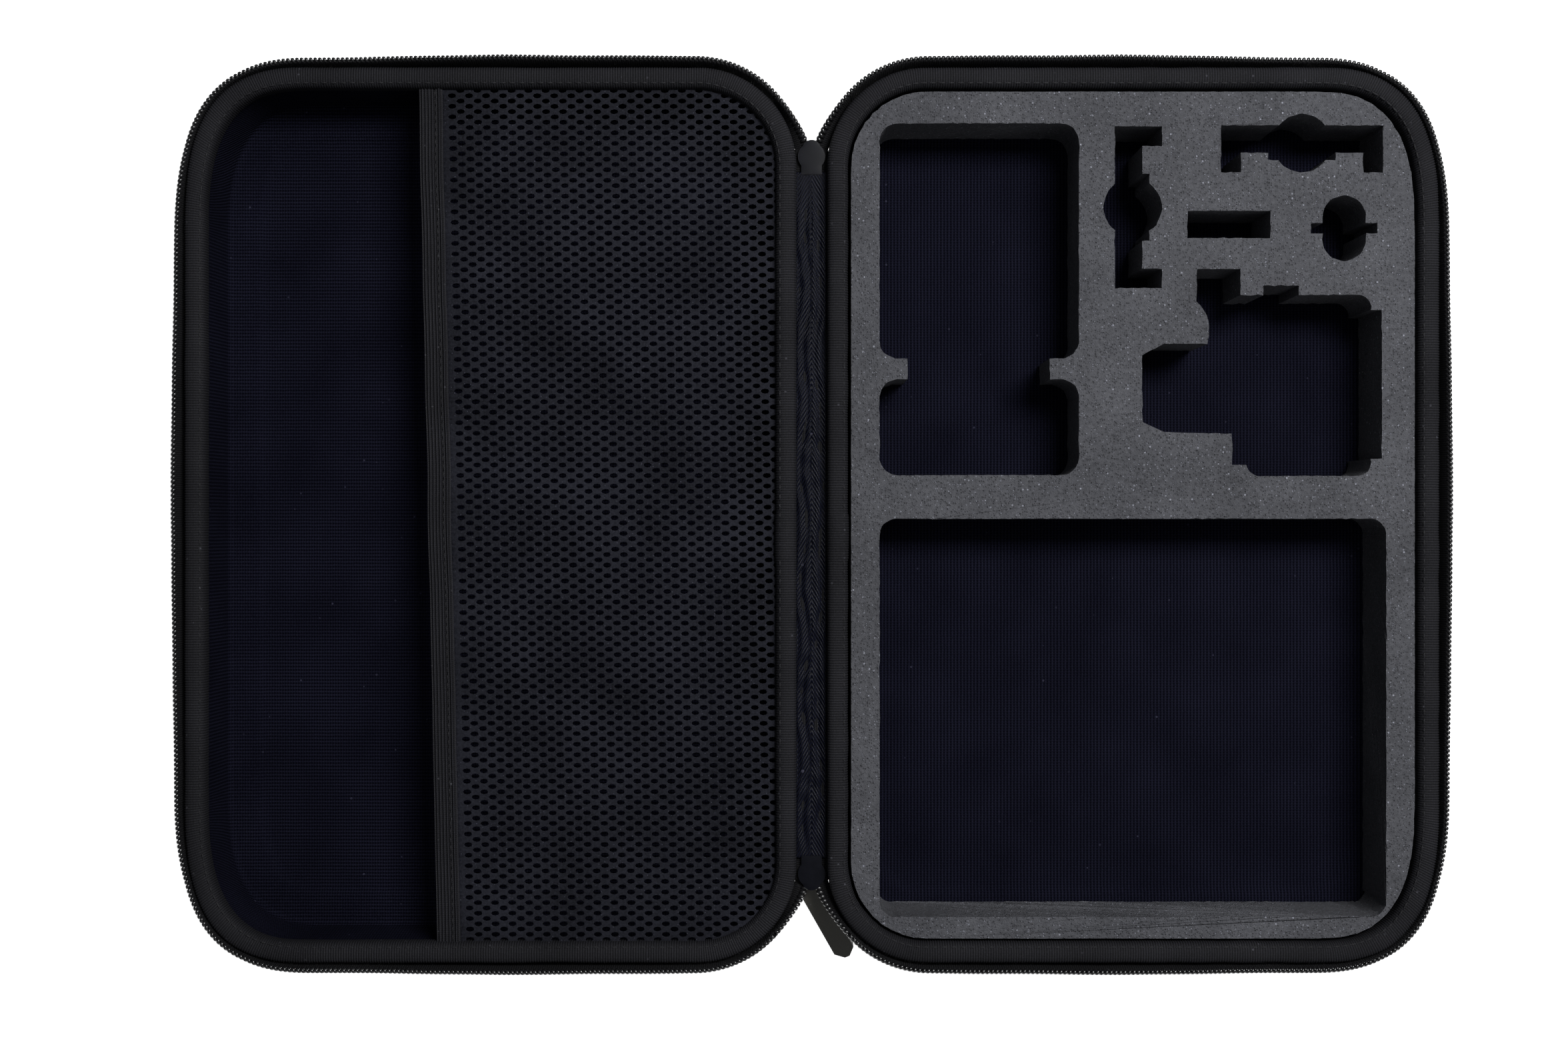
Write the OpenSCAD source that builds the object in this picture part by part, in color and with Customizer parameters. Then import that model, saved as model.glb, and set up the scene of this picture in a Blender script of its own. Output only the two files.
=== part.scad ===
// Zipped hard carrying case, lying open like a book.
// The base tray holds a cut foam insert, and the lid has a mesh pocket.
// Frame: origin at the centre of the base tray's underside, +X away from the spine, +Y along the spine, +Z up.

/* [Case] */
// Width of one half across the rim, from the spine to the opening side
case_w = 220; // [216:1:290]
// Length of the case along the spine
case_l = 323; // [265:1:400]
// Height of each half's moulded edge above the table
rim_z = 33; // [27:0.5:44]
// Corner radius of the rim beside the spine
hinge_r = 35; // [29:1:42]
// How far a corner on the opening side reaches along the head or foot
far_x = 44; // [36:1:54]
// How far such a corner reaches along the opening side
far_y = 59; // [49:1:72]

/* [Moulded trays] */
// Thickness of the outer fabric
cover_t = 0.8; // [0.5:0.1:1.5]
// Thickness of the moulded foam sheet
shell_t = 3; // [2:0.25:4]
// Thickness of the knitted lining
lining_t = 0.8; // [0.5:0.1:1.5]
// How far a side wall leans in from its top to the floor
wall_draft = 3; // [1:0.5:5]
// Outer radius between floor and side wall
floor_r = 7; // [6:0.5:10]
// Height of the raised panel in the floor
panel_step = 1.2; // [0.6:0.1:1.6]
// Distance of the panel's edge from the rim outline
panel_inset = 15.5; // [15:0.5:22]

/* [Rim binding] */
// How far the binding reaches inwards from the rim outline
binding_in = 6.5; // [6:0.25:8]
// How far it stands out from the rim outline
binding_out = 1; // [0.8:0.1:1.4]
// How far it stands above the moulded edge
binding_rise = 3; // [2:0.25:4]
// How far its two legs reach down the wall
binding_drop = 6.5; // [5:0.5:8]

/* [Spine] */
// Width of the cloth spine between its two fold lines
spine_w = 11.2; // [10.6:0.1:13]
// Height of the fold lines above the table
fold_drop = 2; // [1.5:0.25:3]
// Thickness of the satin strip inside
spine_lining_t = 0.5; // [0.3:0.1:1]
// Thickness of the cloth strip outside
spine_cover_t = 0.8; // [0.5:0.1:1.5]

/* [Zip] */
// Thickness of the zip tape
tape_t = 0.7; // [0.5:0.05:1]
// Thickness of the coil on the tape's outer face
coil_t = 2.3; // [1.8:0.1:2.8]
// Height of the coil at the tape's edge
coil_h = 3; // [2:0.1:3.2]
// Length of a slider body
slider_l = 12.7; // [11:0.1:15]
// Width of a slider body at its shoulders
slider_w = 10; // [8.5:0.1:10.4]
// Thickness of a slider body
slider_t = 4.2; // [3.8:0.1:5]

/* [Zip pulls] */
// Distance from the link's pin to the tab's pivot
link_l = 9; // [8:0.5:12]
// Width of a pull tab
tab_w = 8; // [6:0.5:8.5]
// Length of a pull tab beyond its pivot
tab_l = 31; // [20:0.5:31]
// Thickness of a pull tab
tab_t = 3; // [2.6:0.1:3.4]
// Angle at which the pulls hang below the sliders, unless they would reach the table
pull_drop = 22; // [14:1:37]
// Sideways turn of the lower pull's tab
tab_turn = 26; // [0:1:28]

/* [Foam insert] */
// Gap between the foam and the binding around it
foam_gap = 1.2; // [0.5:0.1:2]
// Height of the foam's top face above the moulded edge
foam_rise = 0.5; // [-3:0.5:2]
// Foam left between the pockets and its spine and opening sides
side_border = 10.3; // [8:0.1:12]
// Foam left between the pockets and its head end
head_border = 11.5; // [9:0.1:14]
// Foam left between the large pocket and its foot end
foot_border = 7.8; // [6:0.1:12]
// Foam left between the large pocket and the ones at the head
divider = 15.8; // [12:0.1:20]

/* [Mesh pocket] */
// Where the elastic's free edge starts beside the case's head, from the lid's centre line
elastic_head_x = -26.5; // [-40:0.5:0]
// Where the elastic's free edge ends beside the case's foot
elastic_foot_x = -19.5; // [-40:0.5:0]
// Width of the elastic
elastic_w = 8.5; // [6:0.5:12]
// Thickness of the elastic
elastic_t = 1.8; // [1.4:0.1:2.5]
// Thickness of the mesh cloth
mesh_t = 0.9; // [0.5:0.1:1.2]

/* [Hidden] */
$fn = 48;
eps = 0.01;

// Facets in each corner of a swept outline, and in the radius between floor and wall.
corner_steps = 10;
fillet_steps = 4;
// A far corner is a quarter of a superellipse with this power: fuller than a circle's 2.
far_power = 2.75;

half_w = case_w / 2;
half_l = case_l / 2;
wall_t = cover_t + shell_t + lining_t;
lid_x = -(case_w + 2 * binding_out + spine_w);
spine_x = lid_x / 2;
fold_z = rim_z - fold_drop;
binding_top = rim_z + binding_rise;
binding_foot = rim_z - binding_drop;
// The two halves close onto this height, midway between the two rims.
closing_z = fold_z + spine_w / 2;
closing_gap = 0.2;
fold_gap = 0.2;
skin_gap = 0.05;
// The straight side along the spine ends here, and the zip starts just past the slider.
hinge_y = half_l - hinge_r;
slider_gap = 0.6;
slider_y = hinge_y + 4;
zip_end_y = slider_y + slider_l / 2 + slider_gap;

// ---- Outlines ----

// Points from angle a0 to a1 on a curve about (cx, cy) with semi-axes ax and ay; power 2 is an ellipse.
function bend(cx, cy, ax, ay, a0, a1, power = 2) =
    [for (i = [0:corner_steps]) let (a = a0 + (a1 - a0) * i / corner_steps)
        [cx + ax * sign(cos(a)) * pow(abs(cos(a)), 2 / power), cy + ay * sign(sin(a)) * pow(abs(sin(a)), 2 / power)]];

// The four corners of the rim outline moved inwards by d.
function far_corner(d, a0) =
    let (side = a0 == 0 ? 1 : -1)
    bend(half_w - far_x, side * (half_l - far_y), far_x - d, far_y - d, a0, a0 + 90, far_power);
function hinge_corner(d, a0, a1) =
    let (side = a0 < 180 ? 1 : -1)
    bend(hinge_r - half_w, side * (half_l - hinge_r), hinge_r - d, hinge_r - d, a0, a1);

// The whole outline moved inwards by d, anticlockwise from the opening side.
function outline(d) =
    concat(far_corner(d, 0), hinge_corner(d, 90, 180), hinge_corner(d, 180, 270), far_corner(d, 270));

// The part of it that carries a zip, from the foot slider round to the head slider.
function zip_angle(d) = asin((zip_end_y - hinge_y) / (hinge_r - d));
function zip_path(d) =
    concat(hinge_corner(d, 180 + zip_angle(d), 270), far_corner(d, 270), far_corner(d, 0),
           hinge_corner(d, 90, 180 - zip_angle(d)));

// ---- Swept solids ----

// Quads between neighbouring rings of n points; wrap joins the last ring to the first.
function ring_faces(rings, n, wrap) =
    [for (k = [0:rings - (wrap ? 1 : 2)]) for (i = [0:n - 1])
        let (j = (i + 1) % n, m = (k + 1) % rings) [k * n + i, m * n + i, m * n + j, k * n + j]];

// A closed ring of cloth: profile points are [inset, height], clockwise seen along the path.
module ring_sweep(profile) {
    n = len(outline(0));
    points = [for (p = profile) for (q = outline(p[0])) [q[0], q[1], p[1]]];
    polyhedron(points, ring_faces(len(profile), n, true), convexity = 6);
}

// The same profile along the zipped part of the rim only, with flat ends.
module zip_sweep(profile) {
    count = len(zip_path(0));
    m = len(profile);
    paths = [for (p = profile) zip_path(p[0])];
    points = [for (i = [0:count - 1]) for (k = [0:m - 1]) [paths[k][i][0], paths[k][i][1], profile[k][1]]];
    start_cap = [for (k = [0:m - 1]) k];
    end_cap = [for (k = [m - 1:-1:0]) (count - 1) * m + k];
    polyhedron(points, concat([start_cap], ring_faces(count, m, false), [end_cap]), convexity = 6);
}

// ---- Moulded trays ----

function wall_in(z) = wall_draft * (1 - z / rim_z);

// Section of a tray surface lying o inside the outer one, from the panel out to the rim.
function tray_profile(o) =
    let (r = max(floor_r - o, 1.5), z0 = o + panel_step, cz = z0 + r, cx = wall_in(cz) + o + r)
    concat(
        [[panel_inset + panel_step + o, o], [panel_inset + o / 2, z0]],
        [for (k = [0:fillet_steps]) let (a = 90 * k / fillet_steps) [cx - r * sin(a), cz - r * cos(a)]],
        [[wall_in(rim_z) + o, rim_z]]);

// The skin between two tray surfaces: o1 outside, o2 inside.
module tray_skin(o1, o2) {
    n = len(outline(0));
    outer = tray_profile(o1);
    inner = tray_profile(o2);
    count = len(outer);
    profile = concat(outer, [for (k = [count - 1:-1:0]) inner[k]]);
    points = [for (p = profile) for (q = outline(p[0])) [q[0], q[1], p[1]]];
    under = [for (i = [0:n - 1]) i];
    over = [for (i = [n - 1:-1:0]) (2 * count - 1) * n + i];
    sides = [for (f = ring_faces(2 * count, n, false)) [f[3], f[2], f[1], f[0]]];
    polyhedron(points, concat([[for (i = [n - 1:-1:0]) under[i]]], sides, [[for (i = [n - 1:-1:0]) over[i]]]),
               convexity = 6);
}

module half_cover() { tray_skin(0, cover_t); }
module half_shell() { tray_skin(cover_t, cover_t + shell_t); }
module half_lining() { tray_skin(cover_t + shell_t, wall_t); }

// Grosgrain folded over the edge of all three skins.
module half_binding() {
    soft = 0.7;
    ring_sweep([
        [-binding_out, binding_foot], [-binding_out, binding_top - 2.2], [-binding_out + soft, binding_top - soft],
        [-binding_out + 2.2, binding_top], [binding_in - 2.2, binding_top], [binding_in - soft, binding_top - soft],
        [binding_in, binding_top - 2.2], [binding_in, binding_foot + 1.5],
        [wall_in(binding_foot) + wall_t, binding_foot], [wall_in(rim_z) + wall_t, rim_z],
        [wall_in(rim_z), rim_z], [wall_in(binding_foot), binding_foot]
    ]);
}

// ---- Zip tape and coil ----

tape_top = closing_z - closing_gap;
module half_tape() {
    inside = -binding_out;
    zip_sweep([
        [inside, binding_foot + 1], [inside, tape_top], [inside - tape_t, tape_top], [inside - tape_t, binding_foot + 1]
    ]);
}

module half_coil() {
    inside = -binding_out - tape_t;
    soft = 0.6;
    low = tape_top - coil_h;
    zip_sweep([
        [inside, low], [inside, tape_top], [inside - coil_t + soft, tape_top], [inside - coil_t, tape_top - soft],
        [inside - coil_t, low + soft], [inside - coil_t + soft, low]
    ]);
}

// ---- Foam insert ----

foam_in = binding_in + foam_gap;
foam_half_w = half_w - foam_in;
foam_half_l = half_l - foam_in;
foam_top = rim_z + foam_rise;
floor_round = max(floor_r - wall_t, 1.5);
floor_gap = 0.3;

// A rectangle with round corners, drawn from squares and circles.
module round_rect(w, l, r) {
    square([w - 2 * r, l], center = true);
    square([w, l - 2 * r], center = true);
    for (x = [-1, 1]) for (y = [-1, 1]) translate([x * (w / 2 - r), y * (l / 2 - r)]) circle(r);
}

// A rectangle from its left, lower, right and upper limits.
module span(x0, y0, x1, y1) { translate([x0, y0]) square([x1 - x0, y1 - y0]); }
module round_span(x0, y0, x1, y1, r) {
    translate([(x0 + x1) / 2, (y0 + y1) / 2]) round_rect(x1 - x0, y1 - y0, r);
}

// Tall pocket with a waist, from its upper left corner.
waisted_l = 127.8;
module waisted_pocket() {
    w = 72.4;
    round_span(0, -85.4, w, 0, 6.5);
    round_span(0, -waisted_l, w, -93, 6.5);
    span(10.2, -98, 61.8, -80);
}

// Pocket for a bracket, centred on its bar's length: a bar with two feet, a step and a round boss.
module bracket_pocket() {
    bar = 29.4;
    foot = 7.2;
    span(-6.5, -bar, 3.5, bar);
    for (y = [-bar, bar - foot]) span(-6.5, y, 10.6, y + foot);
    span(0, -12.2, 6.2, 12.2);
    circle(10.6, $fn = 64);
}

// Upright oval with two ears, from its centre.
module oval_pocket() {
    round_rect(15.8, 23.8, 7.85);
    square([24.4, 3.8], center = true);
}

// Camera pocket, from its body's upper right corner: stepped body, lens end to the left, screw head above.
module camera_pocket() {
    round_span(-49.5, -65.8, -4, 0, 5);
    span(-20.5, -59.6, -0.1, -5.5);
    span(-54.5, -61.7, -30.5, -17.8);
    span(-62.9, -25, -30.5, -10);
    span(-52.5, -20, -20.5, -0.2);
    span(-43.3, -2, -30.3, 3.4);
    polygon([[-53.5, -50.6], [-78.9, -49.8], [-87, -46.3], [-87.3, -22], [-79.1, -17.8], [-53.5, -17.8]]);
    // The screw head flares, and its left side is a hollow curve.
    difference() {
        span(-67.3, -17.8, -51.4, 9.4);
        translate([-77.8, -13]) circle(15, $fn = 96);
    }
}

module foam_pockets() {
    left = side_border - foam_half_w;
    right = foam_half_w - side_border;
    head = foam_half_l - head_border;
    translate([left, head]) waisted_pocket();
    translate([right, head]) {
        translate([-92.1, -30.5]) bracket_pocket();
        translate([-30.6, -7.2]) rotate(-90) bracket_pocket();
        span(-72.2, -41.7, -42, -31.8);
        translate([-15.3, -38.1]) oval_pocket();
        translate([-1.5, -62.3]) camera_pocket();
    }
    round_span(left, foot_border - foam_half_l, right, head - waisted_l - divider, 6);
}

// A flat block glued to the ledge around the floor panel; its lower edge steps in over the rounded floor edge.
module foam_insert() {
    seat_z = wall_t + panel_step;
    step_z = seat_z + floor_round + floor_gap;
    color("dimgray") difference() {
        union() {
            translate([0, 0, step_z]) linear_extrude(foam_top - step_z) polygon(outline(foam_in));
            translate([0, 0, seat_z]) linear_extrude(step_z - seat_z + eps)
                polygon(outline(wall_in(seat_z) + wall_t + floor_round + floor_gap));
        }
        translate([0, 0, wall_t - 1]) linear_extrude(foam_top) foam_pockets();
    }
}

// ---- Mesh pocket, in the lid's own frame: +X towards the spine ----

mesh_z = binding_foot + 5;
module opening_2d() { mirror([1, 0]) polygon(outline(binding_in + skin_gap)); }

// The band between two lines that run from head to foot, offset sideways by e0 and e1.
module slanted_band(e0, e1) {
    polygon([[elastic_head_x + e0, half_l], [elastic_foot_x + e0, -half_l],
             [elastic_foot_x + e1, -half_l], [elastic_head_x + e1, half_l]]);
}

module mesh_pocket() {
    color("#262a38") translate([lid_x, 0, mesh_z]) linear_extrude(mesh_t) intersection() {
        opening_2d();
        slanted_band(elastic_w, case_w);
    }
}

module pocket_elastic() {
    color("#1c1c20") translate([lid_x, 0, mesh_z + mesh_t / 2 - elastic_t / 2]) linear_extrude(elastic_t)
        intersection() {
            opening_2d();
            slanted_band(0, elastic_w);
        }
}

// ---- Spine ----

spine_half_l = slider_y - slider_l / 2 - slider_gap;
module spine_strip(top, t) {
    translate([spine_x - spine_w / 2 + fold_gap, -spine_half_l, top - t])
        cube([spine_w - 2 * fold_gap, 2 * spine_half_l, t]);
}
spine_top = fold_z - fold_gap;
module spine_lining() { color("#1a1c30") spine_strip(spine_top, spine_lining_t); }
module spine_cover() { color("#16161a") spine_strip(spine_top - spine_lining_t, spine_cover_t); }

// ---- Sliders ----
// Built with the smooth back up at z = 0 and the shoulders towards +Y; the zip pull hangs underneath.

plate_t = 1.2;
nose_r = 3.4;
chain_w = 5.8;
tape_slot = 0.8;
crown_in = 1.9;
crown_wall = 0.9;
crown_w = 2.4;
crown_l = 7;
pin_r = 0.75;

// Round shoulders, a blunt nose and a square rear that is a little narrower.
module slider_plan() {
    rear_w = slider_w - 2.5;
    translate([0, 0.3]) circle(slider_w / 2);
    translate([-rear_w / 2, -slider_l / 2]) square([rear_w, slider_l / 2]);
    translate([0, slider_l / 2 - nose_r]) circle(nose_r);
}

module slider() {
    channel_t = slider_t - 2 * plate_t;
    color("#111114") {
        difference() {
            translate([0, 0, -slider_t]) linear_extrude(slider_t) slider_plan();
            // Channel for the closed chain at the rear, splitting into two at the shoulders.
            translate([-chain_w / 2, -slider_l, -plate_t - channel_t]) cube([chain_w, slider_l, channel_t]);
            translate([0, 0, -plate_t - channel_t]) linear_extrude(channel_t)
                polygon([[-chain_w / 2, -0.1], [chain_w / 2, -0.1], [8, 9.2], [-8, 9.2]]);
            // Slots in the side flanges, where the two tapes leave.
            translate([-slider_w, -slider_l, -(slider_t + tape_slot) / 2])
                cube([2 * slider_w, 2 * slider_l, tape_slot]);
        }
        // Wedge that parts the two chains.
        translate([0, 3.4, -plate_t - channel_t - eps]) linear_extrude(channel_t + 2 * eps)
            polygon([[0, -2.2], [1.5, 0.6], [0.9, 2.4], [-0.9, 2.4], [-1.5, 0.6]]);
        slider_crown();
    }
}

// Arch under the slider that the pull's pin passes through.
module slider_crown() {
    translate([-crown_w / 2, -crown_l / 2, -slider_t - crown_in - crown_wall]) difference() {
        cube([crown_w, crown_l, crown_in + crown_wall + eps]);
        translate([-1, crown_wall + 0.4, crown_wall]) cube([crown_w + 2, crown_l - 2 * crown_wall - 0.8, crown_in + 1]);
    }
}

module place_slider(side) {
    translate([spine_x, side * slider_y, spine_top]) rotate(side > 0 ? 0 : 180) slider();
}

// ---- Zip pulls ----
// Built with the link's pin on the X axis and the pull along +Y.

pin_drop = slider_t + crown_in / 2;
link_t = 1;
link_w = 5.6;
leg_w = 1.1;
pivot_r = 1.2;
pivot_clear = 0.08;
tip_z = 2;
drop = min(pull_drop, asin((spine_top - pin_drop - tip_z) / (link_l + tab_l)));

module pull_link() {
    plate_y = crown_l / 2 + 1;
    color("#1b1b1f") {
        translate([-link_w / 2, 0, 0]) rotate([0, 90, 0]) cylinder(r = pin_r, h = link_w);
        for (x = [-link_w / 2, link_w / 2 - leg_w])
            translate([x, 0, -link_t / 2]) cube([leg_w, plate_y + eps, link_t]);
        difference() {
            union() {
                translate([-link_w / 2, plate_y, -link_t / 2]) cube([link_w, link_l - plate_y, link_t]);
                translate([0, link_l, -link_t / 2]) cylinder(r = link_w / 2, h = link_t);
            }
            translate([0, link_l, -link_t]) cylinder(r = pivot_r + pivot_clear, h = 2 * link_t);
        }
    }
}

// Moulded grip: two cheeks on a pivot post around the link's plate, then a bar with a pointed end.
module pull_tab() {
    cheek_gap = 0.12;
    slot = link_t + 2 * cheek_gap;
    point = 3;
    color("#2c2b27") difference() {
        translate([0, 0, -tab_t / 2]) linear_extrude(tab_t)
            polygon([[-tab_w / 2 + 1, -3.4], [tab_w / 2 - 1, -3.4], [tab_w / 2, -2.4], [tab_w / 2, tab_l - point],
                     [tab_w / 2 - point, tab_l], [-tab_w / 2 + point, tab_l], [-tab_w / 2, tab_l - point],
                     [-tab_w / 2, -2.4]]);
        difference() {
            union() {
                translate([0, 0, -slot / 2]) cylinder(r = link_w / 2 + 0.6, h = slot);
                translate([-tab_w, -link_l, -slot / 2]) cube([2 * tab_w, link_l, slot]);
            }
            translate([0, 0, -slot]) cylinder(r = pivot_r, h = 2 * slot);
        }
    }
}

// side is +1 at the head and -1 at the foot; both pulls point towards -Y and down.
module place_pull(side) {
    translate([spine_x, side * slider_y, spine_top - pin_drop]) rotate([180 + drop, 0, 0]) children();
}
module place_tab(side, turn) { place_pull(side) translate([0, link_l, 0]) rotate(turn) pull_tab(); }

// The lid is the base's mirror image across the spine.
module on_lid() { translate([lid_x, 0, 0]) mirror([1, 0, 0]) children(); }

color("#17171a") half_cover();  // base_cover
color("#222226") half_shell();  // base_shell
color("#0c0d18") half_lining();  // base_lining
color("#1a1a1c") half_binding();  // base_binding
color("#101012") half_tape();  // base_zip_tape
color("#2a2a2a") half_coil();  // base_zip_coil
foam_insert();
color("#17171a") on_lid() half_cover();  // lid_cover
color("#222226") on_lid() half_shell();  // lid_shell
color("#0c0d18") on_lid() half_lining();  // lid_lining
color("#1a1a1c") on_lid() half_binding();  // lid_binding
color("#101012") on_lid() half_tape();  // lid_zip_tape
color("#2a2a2a") on_lid() half_coil();  // lid_zip_coil
mesh_pocket();
pocket_elastic();
spine_lining();
spine_cover();
place_slider(1);  // head_slider
place_slider(-1);  // foot_slider
place_pull(1) pull_link();  // head_pull_link
place_tab(1, 0);  // head_pull_tab
place_pull(-1) pull_link();  // foot_pull_link
place_tab(-1, -tab_turn);  // foot_pull_tab
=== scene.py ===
# %% [markdown]
# # A zipped hard carrying case, lying open
#
# This lesson dresses a carrying case for small flying cameras. It lies open like a book: the lid on the
# left, the base with its foam insert on the right, and a cloth spine between them. The solid model comes
# first, as a fixed frame with hinges. Every piece made here is a skin, a cloth or a fitting. Most ride on
# one of its bodies; the spine strips and the zip ends stay unattached.
#
# Sizes below are in millimetres, because a case maker thinks in them. They become metres only when a
# mesh is made.

# %% Load the fixed frame
import math
import bmesh
import bpy
import numpy as np
from mathutils import Matrix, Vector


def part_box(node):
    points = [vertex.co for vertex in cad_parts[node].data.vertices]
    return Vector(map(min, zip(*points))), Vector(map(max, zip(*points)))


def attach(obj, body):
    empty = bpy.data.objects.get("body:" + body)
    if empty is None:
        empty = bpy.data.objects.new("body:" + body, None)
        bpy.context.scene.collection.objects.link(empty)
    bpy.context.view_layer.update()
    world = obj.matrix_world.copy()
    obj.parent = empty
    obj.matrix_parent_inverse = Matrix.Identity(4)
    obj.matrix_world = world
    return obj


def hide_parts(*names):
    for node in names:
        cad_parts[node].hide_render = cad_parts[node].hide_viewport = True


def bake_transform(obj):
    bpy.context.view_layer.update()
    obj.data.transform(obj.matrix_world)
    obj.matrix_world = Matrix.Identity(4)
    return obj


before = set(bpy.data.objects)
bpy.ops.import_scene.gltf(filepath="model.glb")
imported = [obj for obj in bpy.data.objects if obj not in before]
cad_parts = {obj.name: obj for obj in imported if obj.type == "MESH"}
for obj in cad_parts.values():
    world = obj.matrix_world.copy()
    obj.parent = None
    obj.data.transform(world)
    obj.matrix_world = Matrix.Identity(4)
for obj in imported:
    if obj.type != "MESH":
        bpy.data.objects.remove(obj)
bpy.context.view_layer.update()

print("solid parts", len(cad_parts))

# %% [markdown]
# ## The case's own sizes
#
# The width, length and heights are read from the solid parts, so that nothing has to be fitted by eye.
# How round the corners are can't be read from a box. The two beside the spine are quarter circles. The two
# on the opening side are fuller, which keeps room in a moulded tray: quarters of a superellipse.

# %% Sizes read from the solid parts
def box_mm(name):
    """A solid part's lowest and highest corner, in millimetres."""
    low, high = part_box(name)
    return np.array(low) * 1000, np.array(high) * 1000


_, base_high = box_mm("base_cover")
lid_low, lid_high = box_mm("lid_cover")
edge_low, edge_high = box_mm("base_binding")
_, tape_high = box_mm("base_zip_tape")
coil_low, coil_high = box_mm("base_zip_coil")
HALF_W = base_high[0]
HALF_L = base_high[1]
RIM_Z = base_high[2]
LID_X = (lid_low[0] + lid_high[0]) / 2
SPINE_X = LID_X / 2
EDGE_OUT = edge_high[0] - HALF_W
EDGE_TOP = edge_high[2]
EDGE_FOOT = edge_low[2]
TAPE_T = tape_high[0] - edge_high[0]
TAPE_TOP = tape_high[2]
COIL_T = coil_high[0] - tape_high[0]
COIL_H = coil_high[2] - coil_low[2]
FAR_X, FAR_Y, FAR_POWER = 44.0, 59.0, 2.75
HINGE_R = 35.0
EDGE_IN = 6.5
WALL_T = 4.6
SIDES = (("base", False), ("lid", True))
print("half", 2 * HALF_W, "x", 2 * HALF_L, "rim height", RIM_Z, "lid centre", LID_X)

# %% [markdown]
# ## The rim line
#
# Nearly every piece follows the rim, so one function gives a point of it. The rim has eight runs: four
# corners, each followed by a straight side. A place on it is a number from 0 to 8, whose whole part names
# the run, and an inset moves it inwards. Places are then spread evenly by length, or the ribs of the
# binding would crowd together at the corners.

# %% The rim as a function of place and inset
CORNERS = (
    (HALF_W - FAR_X, HALF_L - FAR_Y, FAR_X, FAR_Y, 0, FAR_POWER),
    (HINGE_R - HALF_W, HALF_L - HINGE_R, HINGE_R, HINGE_R, 90, 2.0),
    (HINGE_R - HALF_W, HINGE_R - HALF_L, HINGE_R, HINGE_R, 180, 2.0),
    (HALF_W - FAR_X, FAR_Y - HALF_L, FAR_X, FAR_Y, 270, FAR_POWER),
)


def corner_point(k, angle, inset):
    """Centre + reach * sign(cos a) |cos a|^(2/power) in x, and the same with sin in y."""
    x, y, reach_x, reach_y, first, power = CORNERS[k]
    a = np.radians(first + angle)
    c, s = np.cos(a), np.sin(a)
    return np.stack([x + (reach_x - inset) * np.sign(c) * np.abs(c) ** (2 / power),
                     y + (reach_y - inset) * np.sign(s) * np.abs(s) ** (2 / power)], -1)


def rim(place, inset=0.0):
    """Corners are quarter curves, and straight sides are lines between the corners' ends."""
    place, inset = np.broadcast_arrays(np.asarray(place, float) % 8, np.asarray(inset, float))
    run = place.astype(int)
    along = (place - run)[..., None]
    out = np.zeros(place.shape + (2,))
    for k in range(4):
        curve = corner_point(k, 90 * along[..., 0], inset)
        start = corner_point(k, 90.0, inset)
        end = corner_point((k + 1) % 4, 0.0, inset)
        out = np.where((run == 2 * k)[..., None], curve, out)
        out = np.where((run == 2 * k + 1)[..., None], start + (end - start) * along, out)
    return out


fine = np.linspace(0, 16, 12801)
fine_step = np.linalg.norm(np.diff(rim(fine), axis=0), axis=1)
fine_length = np.concatenate([[0], np.cumsum(fine_step)])
ROUND = fine_length[6400]


def even_places(start, end, count, whole=False):
    """Places from start to end spread evenly by length. whole leaves out the last, where a ring closes."""
    a, b = np.interp([start, end], fine, fine_length)
    steps = np.linspace(a, b, count + 1)[:-1] if whole else np.linspace(a, b, count)
    return np.interp(steps, fine_length, fine), steps


def unit(v):
    """The same direction with length one."""
    return v / np.linalg.norm(v, axis=-1, keepdims=True)


def outward_at(place):
    """Unit vector that points out of the tray: from the rim moved in a little to the rim itself."""
    return unit(rim(place, 0.0) - rim(place, 1.0))


print("round the rim", round(ROUND, 1), "mm")

# %% [markdown]
# ## From arrays to meshes
#
# A surface here is a grid of points: one direction runs along a path and the other across it. Small helpers
# list its quads, check by the sign of the volume that a closed shape faces outwards, make the object, and
# let it ride on a body.

# %% Mesh helpers
def quads(rows, cols, round_rows=False, round_cols=False):
    """Quads of a grid, with each corner's row and column counted on past the end where the grid closes."""
    i, j = np.meshgrid(np.arange(rows - (not round_rows)), np.arange(cols - (not round_cols)), indexing="ij")
    i, j = i.ravel(), j.ravel()
    corner_i = np.stack([i, i + 1, i + 1, i], 1)
    corner_j = np.stack([j, j, j + 1, j + 1], 1)
    return (corner_i % rows) * cols + corner_j % cols, corner_i, corner_j


def volume_of(points, faces):
    """Sum over triangles of a . (b x c) / 6, which is positive when a closed mesh faces outwards."""
    total = 0.0
    for face in faces:
        f = np.asarray(face)
        for k in range(1, f.shape[-1] - 1):
            a, b, c = points[f[..., 0]], points[f[..., k]], points[f[..., k + 1]]
            total += np.einsum("...i,...i->...", a, np.cross(b, c)).sum() / 6
    return total


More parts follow.
